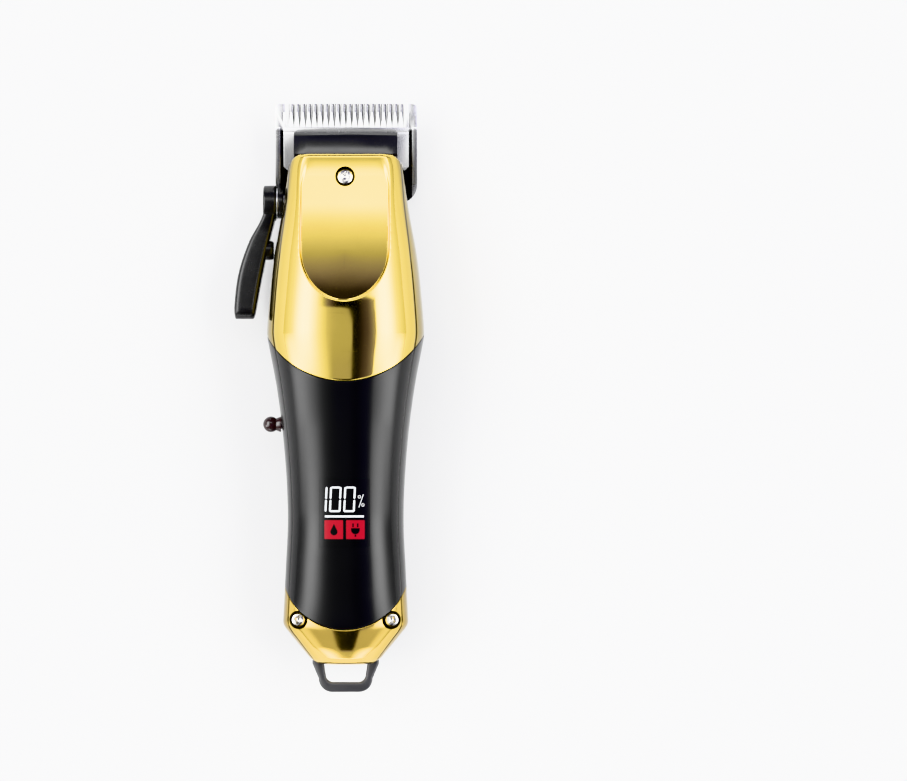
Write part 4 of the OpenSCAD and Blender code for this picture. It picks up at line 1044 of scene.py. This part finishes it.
def lever_arm():
    """Curved arm that narrows from the hub and ends round."""
    tip, tip_r, root, around = 24.9, 2.6, 60.5, 40
    rounding = tip + tip_r * (1 - np.cos(np.linspace(0, math.pi / 2, 9)))
    ys = np.concatenate([rounding[:-1], np.linspace(tip + tip_r, root, 46)])
    verts, faces = [], []
    for y in ys:
        left, right = float(curve(OUTER_EDGE, y)), float(curve(INNER_EDGE, y))
        tall = float(np.interp(y, [tip, 53.7, root], [3.5, 3.5, 4.4]))
        end = math.sqrt(max(1 - max(1 - (y - tip) / tip_r, 0) ** 2, 0))
        cx, hx = (left + right) / 2, (right - left) / 2 * (0.86 + 0.14 * end)
        hz = tall * max(end, 0.12)
        for k in range(around):
            t = 2 * math.pi * (k + 0.5) / around
            c, s = math.cos(t), math.sin(t)
            e = 2 / LEVER_ROUNDNESS
            verts.append((cx + hx * math.copysign(abs(c) ** e, c), y - HUB_Y,
                          hz * math.copysign(abs(s) ** e, s)))
    last = len(verts) - around
    for row in range(0, last, around):
        faces += bridge(row, row + around, around)
    faces += [tuple(range(around)), tuple(range(last, len(verts)))]
    return build("taper_lever_arm", verts, faces, 38)


def hub():
    e = 0.7
    x0, x1 = HUB_FACE_X, HUB_BACK_X
    edges = arc(HUB_R - e, x0 + e, e, -90, 0, 6) + arc(HUB_R - e, x1 - e, e, 0, 90, 6)
    return place(turned("hub", [(0, x0)] + edges + [(0, x1)], 96), along_x)


arm = lever_arm()
stub = [(0, -30), (3.1, -30), (3.1, -24.2), (2.9, -23.7), (2.5, -23.4), (0, -23.4)]
combine(arm, [hub(), place(turned("stub", stub), at(0, 47.3 - HUB_Y, 0) @ along_x)], "UNION", 38)
combine(arm, [place(rod("shaft_hole", SHAFT_R + 0.02, HUB_BACK_X - 2.6, 0), along_x),
              place(rod("screw_hole", 1.6, -40, 0), along_x),
              place(rod("head_seat", 3.0, -40, HUB_FACE_X + 1.6, 72), along_x)], "DIFFERENCE", 38)
place(arm, on_lever)
stand_for(arm, "lever", "lever", "taper_lever")

collar = place(ring("lever_collar_ring", SHAFT_R + 0.05, HUB_R - 0.9, COLLAR_X - 1.8, COLLAR_X, 0.3),
               at_hub)
stand_for(collar, "housing", "lever", "lever_collar")
washer = place(ring("lever_washer_ring", SHAFT_R + 0.05, 5.0, COLLAR_X - 2.35, COLLAR_X - 1.85, 0.1),
               at_hub)
stand_for(washer, "housing", "steel", "lever_washer")

# ---------------------------------------------------------------- power knob
KNOB_X, KNOB_R = -24.3, 2.55
ball = arc(0, KNOB_X, KNOB_R, -90, 38, 22)
ball[0] = (0, KNOB_X - KNOB_R)
knob_line = ball + [(1.98, -22.55), (2.1, -22.3), (2.5, -21.2), (2.5, -21.0), (1.5, -20.9), (1.5, -15.6),
                    (0, -15.6)]
knob = place(turned("power_knob_ball", knob_line), at(0, SWITCH_Y, SWITCH_Z) @ along_x)
stand_for(knob, "switch", "knob", "switch_knob")

# ---------------------------------------------------------------- floor, light, camera
bpy.ops.mesh.primitive_plane_add(size=30)
floor = bpy.context.object
floor.name = "floor"
floor.data.materials.append(material("floor_paper", (0.6, 0.6, 0.6), 0.85, vary=0.01, blotch=60, grain=0.6,
                                     bump=0.1, depth=0.02))

world = bpy.data.worlds.new("studio")
scene.world = world
world.use_nodes = True
sky = world.node_tree
sky.nodes.clear()
parts = node(sky, "ShaderNodeSeparateXYZ")
sky.links.new(node(sky, "ShaderNodeTexCoord").outputs["Generated"], parts.inputs[0])
dx, dy, dz = parts.outputs


def ramp(source, stops):
    """Brightness along an angle, through (degrees, value) stops; it stays level beyond them."""
    stops = [(-90, stops[0][1])] * (stops[0][0] > -90) + stops + [(90, stops[-1][1])] * (stops[-1][0] < 90)
    n = node(sky, "ShaderNodeFloatCurve")
    c = n.mapping.curves[0]
    top = max(v for _, v in stops)
    pts = [((a + 90) / 180, v / top) for a, v in stops]
    while len(c.points) < len(pts):
        c.points.new(0.5, 0.5)
    for p, (px, pv) in zip(c.points, pts):
        p.location = (px, pv)
        p.handle_type = "VECTOR"
    n.mapping.update()
    sky.links.new(ranged(sky, source, -math.pi / 2, math.pi / 2, 0, 1), n.inputs["Value"])
    return maths(sky, "MULTIPLY", n.outputs[0], top)


def times(a, b):
    return maths(sky, "MULTIPLY", a, b)


def rest_of(a):
    return maths(sky, "SUBTRACT", 1.0, a)


# The studio: brightness over the angle across the clipper and the angle along it, both from straight up
across = maths(sky, "ARCTAN2", dx, dz)
along = maths(sky, "ARCSINE", dy)
# Banks of light on both sides, one pair over the head and one over the handle
side = [(3, 0.56), (7, 0.62), (11, 0.76), (16, 1.25), (21, 2.4), (28, 6), (35, 10.5), (44, 11.5), (52, 9),
        (58, 5.5), (65, 2.6), (72, 1.6), (80, 1.25), (90, 1.0)]
rear_side = [(3, 0.3), (6, 0.4), (10, 0.7), (19, 1.5), (25.5, 2.5), (34, 4), (44, 5.9), (57, 9.2),
             (71, 10.6), (80, 8), (86, 5), (90, 3)]
front_banks = ramp(across, [(-a, v) for a, v in side[::-1]] + side)
rear_banks = ramp(across, [(-a, v) for a, v in rear_side[::-1]] + rear_side)
to_rear = ramp(along, [(-20, 1), (-4, 0)])
banks = maths(sky, "ADD", times(rear_banks, to_rear), times(front_banks, rest_of(to_rear)))
# Light over the blade, and a faint one past the tail
bank_ends = ramp(along, [(-90, 0.9), (-70, 0.5), (-55, 0.12), (-32, 0.11), (-24, 1), (30, 1), (40, 0.3),
                         (50, 0.04), (70, 0.1), (90, 0.9)])
front_light = ramp(along, [(-26, 0.6), (-20, 0.5), (-8, 0.56), (10, 0.58), (15, 0.9), (20, 1.8),
                           (25, 3.8), (31, 4.8), (33, 3.6), (34.7, 2.1), (36.9, 1.25), (39.1, 0.98),
                           (41.4, 0.75), (43.6, 0.57), (45.8, 0.41), (47.9, 0.3), (50, 0.15), (52, 0.02),
                           (65, 0.02), (80, 0.6), (90, 0.9)])
tail_light = ramp(along, [(-28, 0.6), (-24, 0)])
middle = ramp(across, [(-40, 0), (-20, 1), (20, 1), (40, 0)])
# A dark card to the right of the middle, a narrow stand past the tail, and a soft sweep over the head
flag = ramp(across, [(1.4, 1), (2.0, 0.0), (7, 0.03), (11, 0.09), (16, 0.1), (21, 0.12),
                     (26, 0.1), (28, 1)])
flag_reach = ramp(along, [(-30, 0), (-24, 1), (6, 1), (9, 0)])
mast = ramp(across, [(-8.8, 0), (-8, 1), (8, 1), (8.8, 0)])
mast_reach = ramp(along, [(-74, 0), (-66, 1), (-25, 1), (-22, 0)])
sweep_edge = ramp(across, [(-30, 5.5), (-16, 4.5), (-1.9, 3.6), (0, 2.7), (1.7, 1.4), (7, 1.4)])
past_edge = maths(sky, "SUBTRACT", maths(sky, "ADD", times(along, math.degrees(1)), 4.0), sweep_edge)
sweep = times(ranged(sky, past_edge, -0.3, 0.3, 0, 1),
              times(ramp(along, [(-6, 0), (-4, 1), (8, 1), (11, 0)]),
                    ramp(across, [(-24, 0), (-4, 1), (6, 1), (9, 0)])))
nose_shade = times(ramp(across, [(2, 0), (6, 0.85), (16, 0.85), (22, 0)]),
                   ramp(along, [(30, 0), (36, 1), (46, 1), (52, 0)]))
lit = maths(sky, "MAXIMUM", times(banks, bank_ends), times(front_light, middle))
lit = maths(sky, "MAXIMUM", lit, tail_light)
level = times(times(lit, rest_of(times(rest_of(flag), flag_reach))), rest_of(times(mast, mast_reach)))
for shade_patch in (sweep, nose_shade):
    level = times(level, rest_of(shade_patch))
glow = node(sky, "ShaderNodeBackground")
sky.links.new(level, glow.inputs["Strength"])
sky.links.new(mixed(sky, ranged(sky, level, 0.08, 0.55, 1, 0), (1.0, 1.0, 1.0), (1.0, 0.92, 2.2)),
              glow.inputs["Color"])
sky.links.new(glow.outputs[0], node(sky, "ShaderNodeOutputWorld").inputs["Surface"])

scene.view_settings.view_transform = "Khronos PBR Neutral"
scene.view_settings.look = "None"

lens = bpy.data.cameras.new("camera")
lens.lens, lens.sensor_width, lens.clip_start, lens.clip_end = 180, 36, 0.01, 50
camera = bpy.data.objects.new("camera", lens)
scene.collection.objects.link(camera)
scene.camera = camera
# Width of the picture in metres, and the middle of the picture from the middle of the clipper
VIEW_WIDTH, AIM_X, AIM_Y = 0.293, 0.0348, 0.0022
middle_y = (cad_low.y + cad_high.y) / 2
camera.location = (AIM_X, middle_y + AIM_Y, PART_Z * MM + VIEW_WIDTH * lens.lens / lens.sensor_width)
